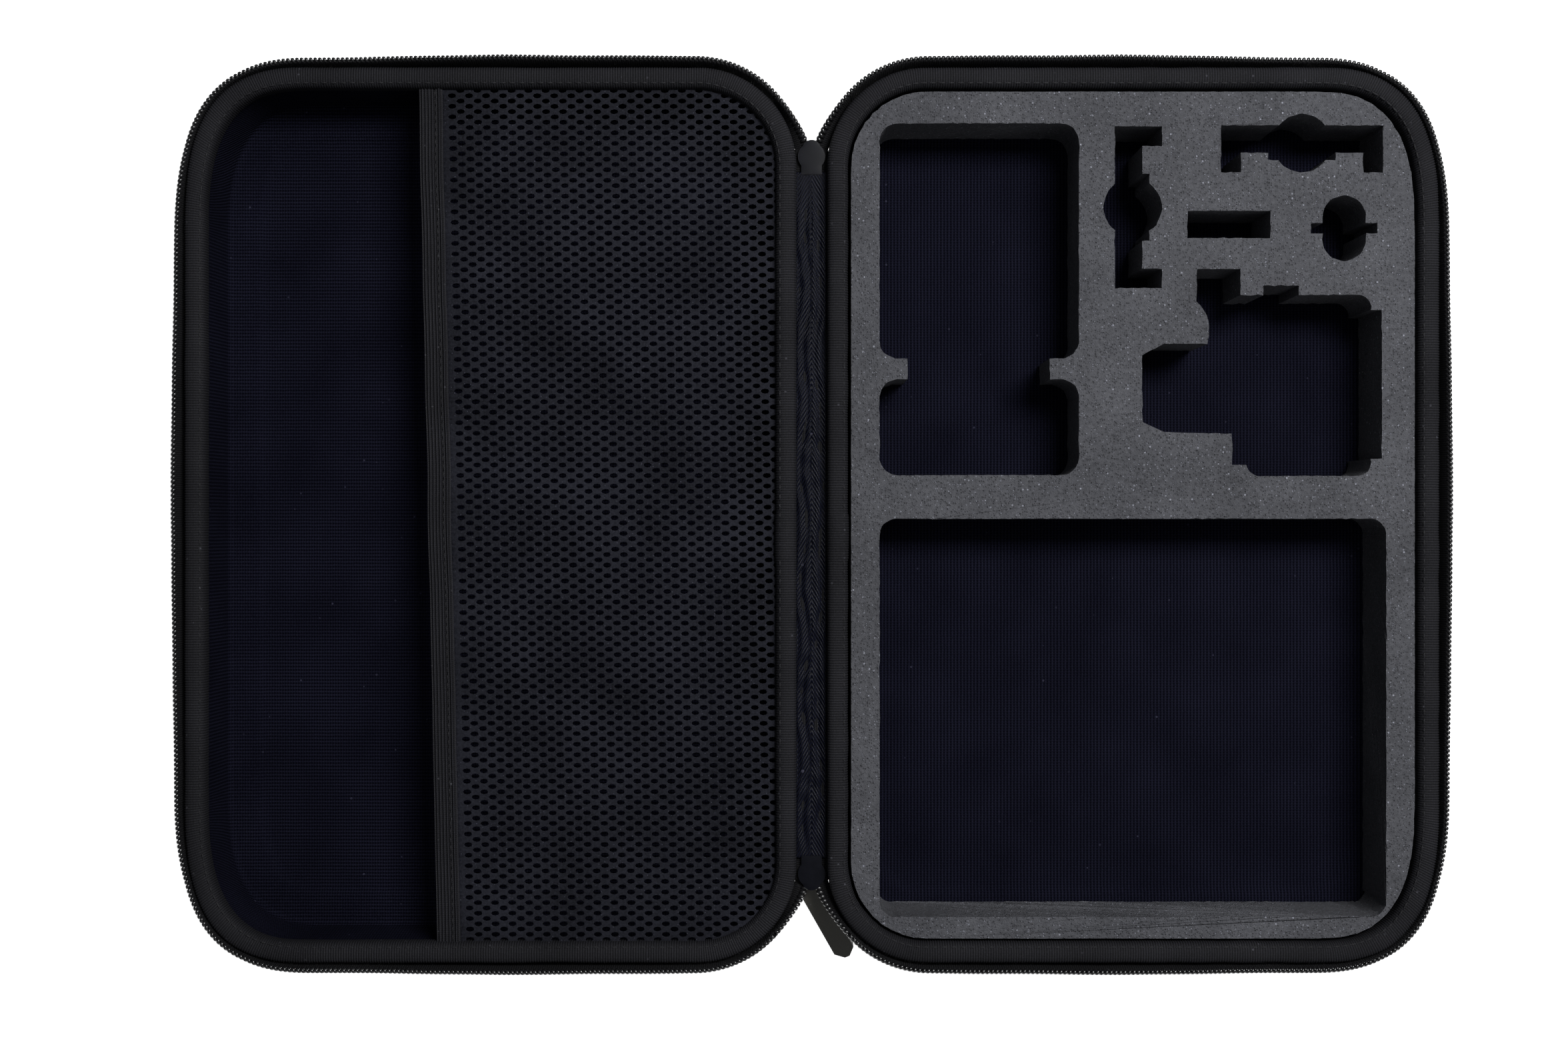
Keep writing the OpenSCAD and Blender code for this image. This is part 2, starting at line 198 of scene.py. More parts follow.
def make(name, points, faces, uv=None, turn_out=True, mirror=False):
    """An object from points in mm and a list of face arrays, with uv per corner in mm, or 0 if left out."""
    points = np.asarray(points, float).reshape(-1, 3)
    points = mirrored(points) if mirror else points
    flip = turn_out and volume_of(points, faces) < 0
    faces = [f[:, ::-1] for f in faces] if flip else faces
    mesh = bpy.data.meshes.new(name)
    mesh.from_pydata((points * 0.001).tolist(), [], [f for part in faces for f in part.tolist()])
    if uv is not None:
        uv = uv + [np.zeros(f.shape + (2,)) for f in faces[len(uv):]]
        corners = [c[:, ::-1] for c in uv] if flip else uv
        flat = np.concatenate([c.reshape(-1, 2) for c in corners]) * 0.001
        mesh.uv_layers.new(name="cloth").data.foreach_set("uv", flat.astype(np.float32).ravel())
    mesh.polygons.foreach_set("use_smooth", np.ones(len(mesh.polygons), bool))
    mesh.update()
    made = bpy.data.objects.new(name, mesh)
    bpy.context.scene.collection.objects.link(made)
    return made


def xyz(x, y, z):
    """Points from coordinates that stretch to a common grid."""
    return np.stack(np.broadcast_arrays(x, y, z), -1).astype(float)


def at_height(spot, z):
    """Points (x, y) with a height, or vectors (x, y) with a z."""
    return xyz(spot[..., 0], spot[..., 1], z)


def end_caps(rows, cols):
    """The two flat faces that close a tube of rings."""
    return np.stack([np.arange(cols), (rows - 1) * cols + np.arange(cols)[::-1]])


def tube(name, loop, around=None, step=0.0, mirror=False):
    """A grid whose columns close round, with a cap at each end. uv = (around[column], row * step)."""
    rows, cols = loop.shape[:2]
    faces, i, j = quads(rows, cols, round_cols=True)
    uv = None if around is None else [np.stack([around[j], i * step], -1)]
    return make(name, loop, [faces, end_caps(rows, cols)], uv, mirror=mirror)


def dress(made, material, body, slot, *nodes):
    """Gives a piece its material and the body it rides on, and hides the solid parts it stands for. The slot
    is not used.
    """
    made.data.materials.clear()
    made.data.materials.append(material)
    if nodes:
        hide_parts(*nodes)
    if body:
        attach(made, body)
    print(made.name, len(made.data.polygons), "faces")
    return made


def mirrored(points):
    """The lid is the base's mirror image across the spine: x becomes LID_X - x."""
    out = np.array(points, float)
    out[..., 0] = LID_X - out[..., 0]
    return out


def waves(x, y, size, seed):
    """Smooth seeded unevenness from -1 to 1: the mean of five sine waves in different directions."""
    rng = np.random.default_rng(seed)
    total = 0
    for k in range(5):
        a, phase, stretch = rng.uniform(0, 2 * np.pi), rng.uniform(0, 2 * np.pi), rng.uniform(0.6, 1.7)
        total = total + np.sin(2 * np.pi * (x * np.cos(a) + y * np.sin(a)) * stretch / size + phase)
    return total / 5


def blend_half(made, mirror, at_half, at_spine):
    """Bakes the piece's placement into its mesh. The two points, the base's in mm, are turned into metres but
    not used further.
    """
    a, b = (((mirrored(p) if mirror else np.array(p, float)) * 0.001).tolist() for p in (at_half, at_spine))
    if mirror:
        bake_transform(made)
    else:
        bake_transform(made)

# %% [markdown]
# ## Finishes: small patterns shared by several materials
#
# Cloth, foam and rubber look real through fine relief, made once in shader node groups: rounded ribs, a
# diagonal twill, fibre fuzz with lint, and foam cells. Each group reads a position in metres and gives out
# heights and masks, and the materials choose their own sizes and colours. Cloth patterns read the piece's
# own unrolled coordinates, so a rib runs on over a bend.

# %% Node helpers
def put(tree, kind, inputs=None, **settings):
    """Adds a node, and sets its input values and its settings."""
    made = tree.nodes.new(kind)
    for key, value in settings.items():
        setattr(made, key, value)
    for key, value in (inputs or {}).items():
        if isinstance(value, bpy.types.NodeSocket):
            tree.links.new(value, made.inputs[key])
        else:
            made.inputs[key].default_value = value
    return made


def calc(tree, operation, a, b=0.0, c=0.0, clamp=False):
    """One Math node on sockets or numbers."""
    node = put(tree, "ShaderNodeMath", {0: a, 1: b, 2: c}, operation=operation, use_clamp=clamp)
    return node.outputs[0]


def group(name, inputs, outputs):
    """A new node group with named inputs (name, kind, value) and outputs (name, kind)."""
    tree = bpy.data.node_groups.new(name, "ShaderNodeTree")
    for label, kind, value in inputs:
        socket = tree.interface.new_socket(label, in_out="INPUT", socket_type="NodeSocket" + kind)
        if value is not None:
            socket.default_value = value
    for label, kind in outputs:
        tree.interface.new_socket(label, in_out="OUTPUT", socket_type="NodeSocket" + kind)
    return tree, tree.nodes.new("NodeGroupInput"), tree.nodes.new("NodeGroupOutput")


def give(tree, out, **values):
    """Links a group's results to its outputs, whose names have spaces for underscores."""
    for label, value in values.items():
        tree.links.new(value, out.inputs[label.replace("_", " ")])


# %% Ribs and threads
# Ridge = (0.5 + 0.5 cos(2 pi across / pitch)), and threads lie across the ridges at their own pitch.
ribs, rib_in, rib_out = group(
    "Ribs and threads",
    [("Vector", "Vector", None), ("Rib pitch", "Float", 0.001), ("Thread pitch", "Float", 0.0005),
     ("Wander", "Float", 0.0001)],
    [("Ridge", "Float"), ("Thread", "Float"), ("Height", "Float")])
wander = put(ribs, "ShaderNodeTexNoise", {"Vector": rib_in.outputs["Vector"], "Scale": 260.0, "Detail": 1.0})
shift = calc(ribs, "MULTIPLY", calc(ribs, "SUBTRACT", wander.outputs["Fac"], 0.5), rib_in.outputs["Wander"])
split = put(ribs, "ShaderNodeSeparateXYZ", {0: rib_in.outputs["Vector"]})
across = calc(ribs, "DIVIDE", calc(ribs, "ADD", split.outputs["X"], shift), rib_in.outputs["Rib pitch"])
turned = calc(ribs, "MULTIPLY", across, 2 * math.pi)
ridge = calc(ribs, "MULTIPLY_ADD", calc(ribs, "COSINE", turned), 0.5, 0.5)
down = calc(ribs, "DIVIDE", calc(ribs, "ADD", split.outputs["Y"], shift), rib_in.outputs["Thread pitch"])
half_turned = calc(ribs, "MULTIPLY", across, math.pi)
slip = calc(ribs, "MULTIPLY", calc(ribs, "ABSOLUTE", calc(ribs, "SINE", half_turned)),
            0.35)
thread_wave = calc(ribs, "COSINE", calc(ribs, "MULTIPLY", calc(ribs, "ADD", down, slip), 2 * math.pi))
thread = calc(ribs, "MULTIPLY_ADD", thread_wave, 0.5, 0.5)
height = calc(ribs, "MULTIPLY_ADD", thread, 0.35, calc(ribs, "MULTIPLY", ridge, 0.65))
give(ribs, rib_out, Ridge=ridge, Thread=thread, Height=height)

# %% Twill
# A diagonal step: ridge of (u / warp + v / weft), so each thread floats over the next and moves one on.
twill, twill_in, twill_out = group(
    "Twill",
    [("Vector", "Vector", None), ("Warp", "Float", 0.0006), ("Weft", "Float", 0.0009)],
    [("Float over", "Float"), ("Height", "Float")])
split = put(twill, "ShaderNodeSeparateXYZ", {0: twill_in.outputs["Vector"]})
warp = calc(twill, "DIVIDE", split.outputs["X"], twill_in.outputs["Warp"])
weft = calc(twill, "DIVIDE", split.outputs["Y"], twill_in.outputs["Weft"])
diagonal = calc(twill, "SINE", calc(twill, "MULTIPLY", calc(twill, "ADD", warp, weft), 2 * math.pi))
fine_warp = calc(twill, "SINE", calc(twill, "MULTIPLY", warp, 6 * math.pi))
over = calc(twill, "MULTIPLY_ADD", diagonal, 0.5, 0.5)
give(twill, twill_out, Float_over=over, Height=calc(twill, "MULTIPLY_ADD", fine_warp, 0.18, over))

# %% Fibre fuzz and lint
# Tone is uneven dyeing at two sizes, and Lint is a rare thin bright fibre or speck of dust.
fuzz, fuzz_in, fuzz_out = group(
    "Fuzz and lint",
    [("Vector", "Vector", None), ("Scale", "Float", 900.0), ("Lint scale", "Float", 240.0),
     ("Lint share", "Float", 0.2)],
    [("Tone", "Float"), ("Lint", "Float"), ("Grain", "Float")])
grain = put(fuzz, "ShaderNodeTexNoise",
            {"Vector": fuzz_in.outputs["Vector"], "Scale": fuzz_in.outputs["Scale"],
                                         "Detail": 3.0, "Roughness": 0.7})
cloud = put(fuzz, "ShaderNodeTexNoise", {"Vector": fuzz_in.outputs["Vector"], "Scale": 38.0, "Detail": 2.0})
tone = calc(fuzz, "MULTIPLY_ADD", calc(fuzz, "SUBTRACT", grain.outputs["Fac"], 0.5), 1.3,
            calc(fuzz, "MULTIPLY_ADD", calc(fuzz, "SUBTRACT", cloud.outputs["Fac"], 0.5), 0.9, 0.5),
            clamp=True)
specks = put(fuzz, "ShaderNodeTexVoronoi", {"Vector": fuzz_in.outputs["Vector"],
                                            "Scale": fuzz_in.outputs["Lint scale"]})
chosen = put(fuzz, "ShaderNodeSeparateColor", {0: specks.outputs["Color"]})
rare = calc(fuzz, "LESS_THAN", chosen.outputs[0], fuzz_in.outputs["Lint share"])
near = calc(fuzz, "LESS_THAN", specks.outputs["Distance"], 0.17)
lint = calc(fuzz, "MULTIPLY", calc(fuzz, "MULTIPLY", rare, near), chosen.outputs[1])
give(fuzz, fuzz_out, Tone=tone, Lint=lint, Grain=grain.outputs["Fac"])

# %% Foam cells
# Open cells are pits round the points of a cell pattern; a second, finer pattern gives the torn skin.
cells, cell_in, cell_out = group(
    "Foam cells",
    [("Vector", "Vector", None), ("Cells per metre", "Float", 1500.0)],
    [("Pit", "Float"), ("Glint", "Float"), ("Height", "Float")])
big = put(cells, "ShaderNodeTexVoronoi", {"Vector": cell_in.outputs["Vector"],
                                          "Scale": cell_in.outputs["Cells per metre"]})
small = put(cells, "ShaderNodeTexVoronoi",
            {"Vector": cell_in.outputs["Vector"],
             "Scale": calc(cells, "MULTIPLY", cell_in.outputs["Cells per metre"], 2.3)})
pick = put(cells, "ShaderNodeSeparateColor", {0: big.outputs["Color"]})
open_cell = calc(cells, "GREATER_THAN", pick.outputs[0], 0.45)
hollow = calc(cells, "SUBTRACT", 1.0, calc(cells, "MULTIPLY", big.outputs["Distance"], 1.9), clamp=True)
pit = calc(cells, "MULTIPLY", hollow, open_cell)
# Glint is a painted highlight: a bright speck near the point of a few cells.
painted_glint = calc(cells, "MULTIPLY", calc(cells, "GREATER_THAN", pick.outputs[1], 0.86),
             calc(cells, "LESS_THAN", big.outputs["Distance"], 0.3))
relief = calc(cells, "SUBTRACT", calc(cells, "MULTIPLY", small.outputs["Distance"], 0.5), pit)
give(cells, cell_out, Pit=pit, Glint=painted_glint, Height=relief)
print("pattern groups", [g.name for g in bpy.data.node_groups])


# %% [markdown]
# ## Materials
#
# A material here is one shader fed by the shared groups. Two colours are mixed by a mask, so threads,
# valleys and lint differ, and the same heights go through a Bump node. The darker valleys and lighter
# thread tops are painted shade and painted highlight; lint is real. Values that are the same all over
# are set on the shader itself.

# %% Material helpers
def start(name, **fixed):
    """A material with its shader; fixed values are set straight on the shader's sockets."""
    material = bpy.data.materials.new(name)
    material.use_nodes = True
    tree = material.node_tree
    shader = tree.nodes["Principled BSDF"]
    for key, value in fixed.items():
        shader.inputs[key.replace("_", " ")].default_value = value
    return material, tree, shader


def use(tree, shared, **inputs):
    """Places a shared group with this material's own values."""
    named = {key.replace("_", " "): value for key, value in inputs.items()}
    return put(tree, "ShaderNodeGroup", named, node_tree=shared)


def mix(tree, mask, a, b):
    """Colour a where mask is 0 and b where it is 1."""
    a, b = (v if isinstance(v, bpy.types.NodeSocket) else (*v, 1.0) for v in (a, b))
    return put(tree, "ShaderNodeMix", {"Factor": mask, 6: a, 7: b}, data_type="RGBA").outputs[2]


def bump(tree, shader, height, distance, strength=1.0, below=None):
    """Relief of the given depth in metres, laid over another Bump if there is one."""
    node = put(tree, "ShaderNodeBump", {"Height": height, "Distance": distance, "Strength": strength})
    if below is not None:
        tree.links.new(below, node.inputs["Normal"])
    tree.links.new(node.outputs["Normal"], shader.inputs["Normal"])
    return node.outputs["Normal"]


def position(tree, cloth=True):
    """The piece's own unrolled cloth coordinates, or its place in the case."""
    node = put(tree, "ShaderNodeTexCoord")
    return node.outputs["UV" if cloth else "Object"]


def fuzzed(tree, scale, lint_scale, lint_share):
    """The fuzz group's results over the piece's own position."""
    return use(tree, fuzz, Vector=position(tree, False), Scale=scale, Lint_scale=lint_scale,
               Lint_share=lint_share).outputs


def ribbed_cloth(name, shaded_valley, lit_crest, lint_colour, rib_pitch, thread_pitch, depth, wander=0.0002,
                 lint_share=0.1, **fixed):
    """Ribs and threads with uneven dye, a little lint, painted shade in the valleys and a painted highlight
    on the crests: grosgrain, knit, elastic and zip tape.
    """
    material, tree, shader = start(name, **fixed)
    relief = use(tree, ribs, Vector=position(tree), Rib_pitch=rib_pitch, Thread_pitch=thread_pitch,
                 Wander=wander)
    dye = fuzzed(tree, 1500.0, 420.0, lint_share)
    # Painted shade and highlight: the colour runs from the valley colour to the crest colour with the
    # relief's height, varied by the real uneven dye.
    mask = calc(tree, "MULTIPLY", relief.outputs["Height"],
                calc(tree, "MULTIPLY_ADD", dye["Tone"], 0.9, 0.35), clamp=True)
    colour = mix(tree, dye["Lint"], mix(tree, mask, shaded_valley, lit_crest), lint_colour)
    rough = calc(tree, "MULTIPLY_ADD", dye["Tone"], -0.18, fixed.get("Roughness", 0.8) + 0.09)
    give(tree, shader, Base_Color=colour, Roughness=rough)
    under = bump(tree, shader, relief.outputs["Height"], depth)
    bump(tree, shader, dye["Grain"], depth * 0.5, 0.5, under)
    return material


# %% Cloth materials
# Each cloth gives a shaded valley colour and a lit crest colour, the painted shade and painted highlight of
# its ribs, and then a lint colour.
grosgrain = ribbed_cloth("black grosgrain", (0.0020, 0.0020, 0.0026), (0.024, 0.024, 0.029),
                         (0.05, 0.05, 0.06), 0.0009, 0.00042, 0.00016, Roughness=0.72,
                         Specular_IOR_Level=0.16)
knit = ribbed_cloth("navy black knit", (0.0008, 0.0008, 0.0022), (0.0125, 0.0130, 0.0260), (0.03, 0.03, 0.05),
                    0.00126, 0.0010, 0.00030, lint_share=0.03, Roughness=0.88, Specular_IOR_Level=0.03)
elastic_cloth = ribbed_cloth("black elastic", (0.0020, 0.0020, 0.0028), (0.027, 0.027, 0.033),
                             (0.06, 0.06, 0.07), 0.0012, 0.0007, 0.00022, Roughness=0.66,
                             Specular_IOR_Level=0.18)
tape_cloth = ribbed_cloth("black zip tape", (0.0020, 0.0020, 0.0022), (0.015, 0.015, 0.017),
                          (0.04, 0.04, 0.045), 0.0008, 0.0006, 0.00014, Roughness=0.8,
                          Specular_IOR_Level=0.12)
cover_cloth = ribbed_cloth("black oxford cloth", (0.0025, 0.0025, 0.003), (0.018, 0.018, 0.021),
                           (0.05, 0.05, 0.055), 0.0007, 0.0007, 0.00016, Roughness=0.82,
                           Specular_IOR_Level=0.15)
thread_black = ribbed_cloth("black thread", (0.004, 0.004, 0.005), (0.034, 0.034, 0.039), (0.06, 0.06, 0.07),
                            0.0004, 0.0008, 0.00008, Roughness=0.55, Specular_IOR_Level=0.25)

# %% Satin
satin, tree, shader = start("navy satin", Roughness=0.42, Specular_IOR_Level=0.14)
weave = use(tree, twill, Vector=position(tree), Warp=0.0011, Weft=0.0019)
dye = fuzzed(tree, 1100.0, 300.0, 0.04)
# Painted sheen and shade: the twill's floats are coloured lighter and the dips between them darker, varied by
# the real uneven dye.
mask = calc(tree, "MULTIPLY", weave.outputs["Float over"],
            calc(tree, "MULTIPLY_ADD", dye["Tone"], 0.8, 0.3), clamp=True)
colour = mix(tree, dye["Lint"], mix(tree, mask, (0.0004, 0.0006, 0.0022), (0.0068, 0.0080, 0.0195)),
             (0.04, 0.04, 0.06))
rough = calc(tree, "MULTIPLY_ADD", weave.outputs["Float over"], -0.16, 0.52)
give(tree, shader, Base_Color=colour, Roughness=rough)
bump(tree, shader, weave.outputs["Height"], 0.00016)

# %% Mesh yarn
yarn, tree, shader = start("mesh yarn", Roughness=0.8, Specular_IOR_Level=0.12)
dye = fuzzed(tree, 1250.0, 900.0, 0.35)
colour = mix(tree, dye["Lint"], mix(tree, dye["Tone"], (0.0015, 0.0016, 0.0028),
                                            (0.021, 0.022, 0.031)), (0.05, 0.052, 0.07))
give(tree, shader, Base_Color=colour)
bump(tree, shader, dye["Grain"], 0.0003, 0.8)

# %% Insert foam
foam, tree, shader = start("charcoal insert foam", Roughness=0.92, Specular_IOR_Level=0.25)
open_cells = use(tree, cells, Vector=position(tree, False), Cells_per_metre=1350.0)
dye = fuzzed(tree, 620.0, 520.0, 0.30)
body = mix(tree, dye["Tone"], (0.046, 0.047, 0.053), (0.112, 0.114, 0.127))
# Painted shade: the open cells' pits are mixed towards a near-black colour, as the shade in the hollows.
pit_shaded = mix(tree, calc(tree, "MULTIPLY", open_cells.outputs["Pit"], 0.62), body, (0.018, 0.018, 0.021))
# Painted highlight: the glint specks are mixed in as a light colour.
with_painted_glint = mix(tree, calc(tree, "MULTIPLY", open_cells.outputs["Glint"], 0.55), pit_shaded, (0.27, 0.28, 0.33))
linty = mix(tree, dye["Lint"], with_painted_glint, (0.30, 0.31, 0.36))
give(tree, shader, Base_Color=linty)
under = bump(tree, shader, open_cells.outputs["Height"], 0.00042, 0.9)
bump(tree, shader, dye["Grain"], 0.0006, 0.7, under)

# %% Moulded foam sheet
eva, tree, shader = start("moulded foam sheet", Roughness=0.85)
dye = fuzzed(tree, 1800.0, 900.0, 0.1)
give(tree, shader, Base_Color=mix(tree, dye["Tone"], (0.015, 0.015, 0.017), (0.035, 0.035, 0.039)))
bump(tree, shader, dye["Grain"], 0.0003, 0.6)


# %% Nylon, enamel, metal and rubber
def hard_finish(name, dark, light, grain_scale, depth, dust=(0.10, 0.10, 0.11), **fixed):
    """A nearly even hard finish: slight tone, fine relief, and dust specks that also dull the gloss."""
    material, tree, shader = start(name, **fixed)
    dye = fuzzed(tree, grain_scale, 650.0, 0.05)
    colour = mix(tree, dye["Lint"], mix(tree, dye["Tone"], dark, light), dust)
    rough = calc(tree, "MULTIPLY_ADD", dye["Tone"], 0.14, fixed["Roughness"] - 0.07)
    give(tree, shader, Base_Color=colour, Roughness=rough)
    bump(tree, shader, dye["Grain"], depth, 0.6)
    return material


nylon = hard_finish("black nylon coil", (0.004, 0.004, 0.0045), (0.012, 0.012, 0.013), 900.0, 0.00004,
                    dust=(0.05, 0.05, 0.055), Roughness=0.24, Specular_IOR_Level=0.85)
enamel = hard_finish("glossy black enamel", (0.0015, 0.0018, 0.0035), (0.004, 0.0045, 0.008), 300.0, 0.00002,
                     dust=(0.03, 0.03, 0.035), Roughness=0.40, Specular_IOR_Level=0.10)
dark_metal = hard_finish("black plated steel", (0.020, 0.020, 0.022), (0.050, 0.050, 0.054), 700.0, 0.00002,
                         Roughness=0.34, Metallic=0.8)
rubber = hard_finish("olive grey rubber", (0.022, 0.021, 0.016), (0.046, 0.044, 0.035), 1600.0, 0.00012,
                     Roughness=0.58)
print("materials", len(bpy.data.materials))

# %% [markdown]
# ## Camera, light and floor
#
# The case is seen from straight above, from about three quarters of a metre. A soft light stands towards
# the head of the case, so the pockets' head walls fall in shadow. Two weak lights fill in, and the floor is
# a pale sheet lit from below, which leaves no shadow round the case.

# %% Camera, lights and floor
CASE_CENTRE = np.array((-0.117, 0.0, 0.0))


def soft_light(name, place, size, watts):
    """A rectangular area light that faces the case, with its up side towards +Y where it can."""
    data = bpy.data.lights.new(name, "AREA")
    data.shape = "RECTANGLE"
    data.size, data.size_y = size
    data.energy = watts
    made = bpy.data.objects.new(name, data)
    bpy.context.scene.collection.objects.link(made)
    back = unit(np.array(place) - CASE_CENTRE)
    right = unit(np.cross((0, 1, 0), back))
    matrix = np.eye(4)
    matrix[:3, :3] = np.stack([right, np.cross(back, right), back], 1)
    matrix[:3, 3] = place
    made.matrix_world = Matrix(matrix.tolist())


camera_data = bpy.data.cameras.new("Camera")
camera_data.sensor_width = 36.0
camera_data.lens = 43.03
camera = bpy.data.objects.new("Camera", camera_data)
bpy.context.scene.collection.objects.link(camera)
camera.location = (-0.1267, -0.0027, 0.714)
bpy.context.scene.camera = camera

soft_light("Light from the head", (0.32, 0.42, 1.05), (0.5, 0.3), 13.8)
soft_light("Light from above", (-0.1, 0.1, 1.6), (1.6, 1.6), 2.2)
soft_light("Light from the foot", (0.35, -0.9, 0.7), (0.8, 0.5), 1.0)
world = bpy.data.worlds.new("Pale studio")
world.use_nodes = True
sky = world.node_tree.nodes["Background"]
sky.inputs["Color"].default_value = (0.92, 0.95, 1.0, 1.0)
sky.inputs["Strength"].default_value = 0.09
bpy.context.scene.world = world
bpy.context.scene.view_settings.view_transform = "Standard"

floor_material, tree, shader = start("pale paper", Roughness=0.9, Emission_Strength=0.95)
dye = fuzzed(tree, 900.0, 60.0, 0.0)
give(tree, shader, Base_Color=mix(tree, dye["Tone"], (0.86, 0.86, 0.86), (0.90, 0.90, 0.90)))
shader.inputs["Emission Color"].default_value = (1.0, 1.0, 1.0, 1.0)
span = np.linspace(-1500.0, 1500.0, 25)
ground = np.stack(np.meshgrid(span, span, [-0.15], indexing="ij"), -1).reshape(-1, 3)
floor = make("Floor", ground, [quads(25, 25)[0]], turn_out=False)
floor.data.materials.append(floor_material)

# %% [markdown]
# ## The moulded trays
#
# Each half is a sandwich: cloth outside, a moulded foam sheet in the middle, and a knitted lining. The foam
# sheet hardly shows, so the solid part stays and gets its material. The outer cloth and the lining are one
# section carried round the rim: raised floor panel, flat, rounded floor edge, leaning wall. Unrolled
# coordinates let the knit run up the wall in one piece.

# %% Trays from one section
WALL_LEAN, FLOOR_R, PANEL_IN, PANEL_UP = 3.0, 7.0, 15.5, 1.2


def tray_section(depth, steps=8):
    """Insets and heights of a tray surface lying depth inside the outer one, from the panel to the rim."""
    r = max(FLOOR_R - depth, 1.5)
    z0 = depth + PANEL_UP
    cz = z0 + r
    cx = WALL_LEAN * (1 - cz / RIM_Z) + depth + r
    a = np.radians(np.linspace(0, 90, steps))
    t = np.linspace(0, 1, 6)
    ease = t * t * (3 - 2 * t)
    panel = np.stack([PANEL_IN + PANEL_UP + depth + 0.6 - t * (PANEL_UP + depth / 2 + 1.2),
                      depth + (z0 - depth) * ease], 1)
    bend = np.stack([cx - r * np.sin(a), cz - r * np.cos(a)], 1)
    up = np.linspace(cz, RIM_Z, 6)[1:]
    wall = np.stack([WALL_LEAN * (1 - up / RIM_Z) + depth, up], 1)
    return np.concatenate([panel, bend, wall])


def tray(name, outer, inner, mirror, turn_cloth):
    """A skin between two sections: floor rings shrink to a pole, and the two surfaces meet at the rim."""
    count = 360
    place, _ = even_places(0, 8, count, whole=True)
    shrink = np.array([0.06, 0.35, 0.6, 0.8, 0.93])
    points, cloth = [], []
    for section in (outer, inner):
        run = np.concatenate([[0], np.cumsum(np.linalg.norm(np.diff(section, axis=0), axis=1))])
        first = rim(place, section[0, 0])
        flat = [at_height(first * s, section[0, 1]) for s in shrink]
        swept = [at_height(rim(place, d), z) for d, z in section]
        unrolled = [first * s for s in shrink] + [rim(place, section[0, 0] - length) for length in run]
        points.append(np.stack(flat + swept, 1))
        cloth.append(np.stack(unrolled, 1))
    grid = np.concatenate([points[0], points[1][:, ::-1]], 1)
    plan = np.concatenate([cloth[0], cloth[1][:, ::-1]], 1)
    columns = grid.shape[1]
    faces, i, j = quads(count, columns, round_rows=True)
    uv = plan[i % count, j]
    poles = np.array([[0, 0, outer[0, 1]], [0, 0, inner[0, 1]]])
    ring = np.arange(count)
    after = (ring + 1) % count
    size = count * columns
    low = np.stack([np.full(count, size), after * columns, ring * columns], 1)
    last = columns - 1
    high = np.stack([np.full(count, size + 1), ring * columns + last, after * columns + last], 1)
    flat_uv = np.concatenate([plan.reshape(-1, 2), np.zeros((2, 2))])
    all_points = np.concatenate([grid.reshape(-1, 3), poles])
    uv_all = [uv, flat_uv[low], flat_uv[high]]
    if turn_cloth:
        uv_all = [u[..., ::-1] for u in uv_all]
    return make(name, all_points, [faces, low, high], uv_all, mirror=mirror)


for side, mirror in SIDES:
    cover = tray(side + "_outer_cloth", tray_section(0.0), tray_section(0.75), mirror, False)
    dress(cover, cover_cloth, side, "cover_fabric", side + "_cover")
    lining = tray(side + "_knit_lining", tray_section(3.85), tray_section(4.6), mirror, mirror)
    dress(lining, knit, side, "knit_lining", side + "_lining")
    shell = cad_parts[side + "_shell"]
    shell.data.materials.clear()
    shell.data.materials.append(eva)

# %% [markdown]
# ## The grosgrain binding
#
# The rim's raw edges are wrapped in ribbon. Its section is a loop: down the outside, over a soft top, down
# the inside, and back along the wall. Grosgrain's cross ribs are real here: neighbouring sections move out
# and in by 0.15 mm, two sections to a rib. Where the ribbon's ends overlap, it is a little thicker.

# %% Binding with real ribs
RIB = 0.92
lean_at_foot = WALL_LEAN * (1 - EDGE_FOOT / RIM_Z)
edge_section = np.array([
    [-EDGE_OUT, EDGE_FOOT], [-EDGE_OUT, 29.2], [-EDGE_OUT - 0.05, 31.6], [-EDGE_OUT, 33.4], [-0.62, 34.9],
    [0.15, 35.7], [1.4, EDGE_TOP - 0.02], [2.8, EDGE_TOP + 0.04], [4.2, EDGE_TOP - 0.12], [5.3, 35.35],
    [6.1, 34.4], [EDGE_IN, 33.0], [EDGE_IN, 31.2], [EDGE_IN - 0.05, 29.4], [6.1, 28.3],
    [WALL_T + lean_at_foot + 0.4, 27.8], [WALL_T + 0.25, 29.5], [WALL_T, RIM_Z], [0.0, RIM_Z],
    [lean_at_foot * 0.5, 29.6], [lean_at_foot, EDGE_FOOT],
])
shown = np.array([0.3, 1, 1, 1, 1, 1, 1, 1, 1, 1, 1, 1, 1, 1, 0.5, 0, 0, 0, 0, 0, 0])


def section_normals(section):
    """Across the chord between a point's two neighbours, pointing out of the loop."""
    chord = np.roll(section, -1, 0) - np.roll(section, 1, 0)
    across = np.stack([-chord[:, 1], chord[:, 0]], 1)
    across /= np.linalg.norm(across, axis=1, keepdims=True)
    middle = section.mean(0)
    outwards = ((section - middle) * across).sum()
    return across * np.sign(outwards)


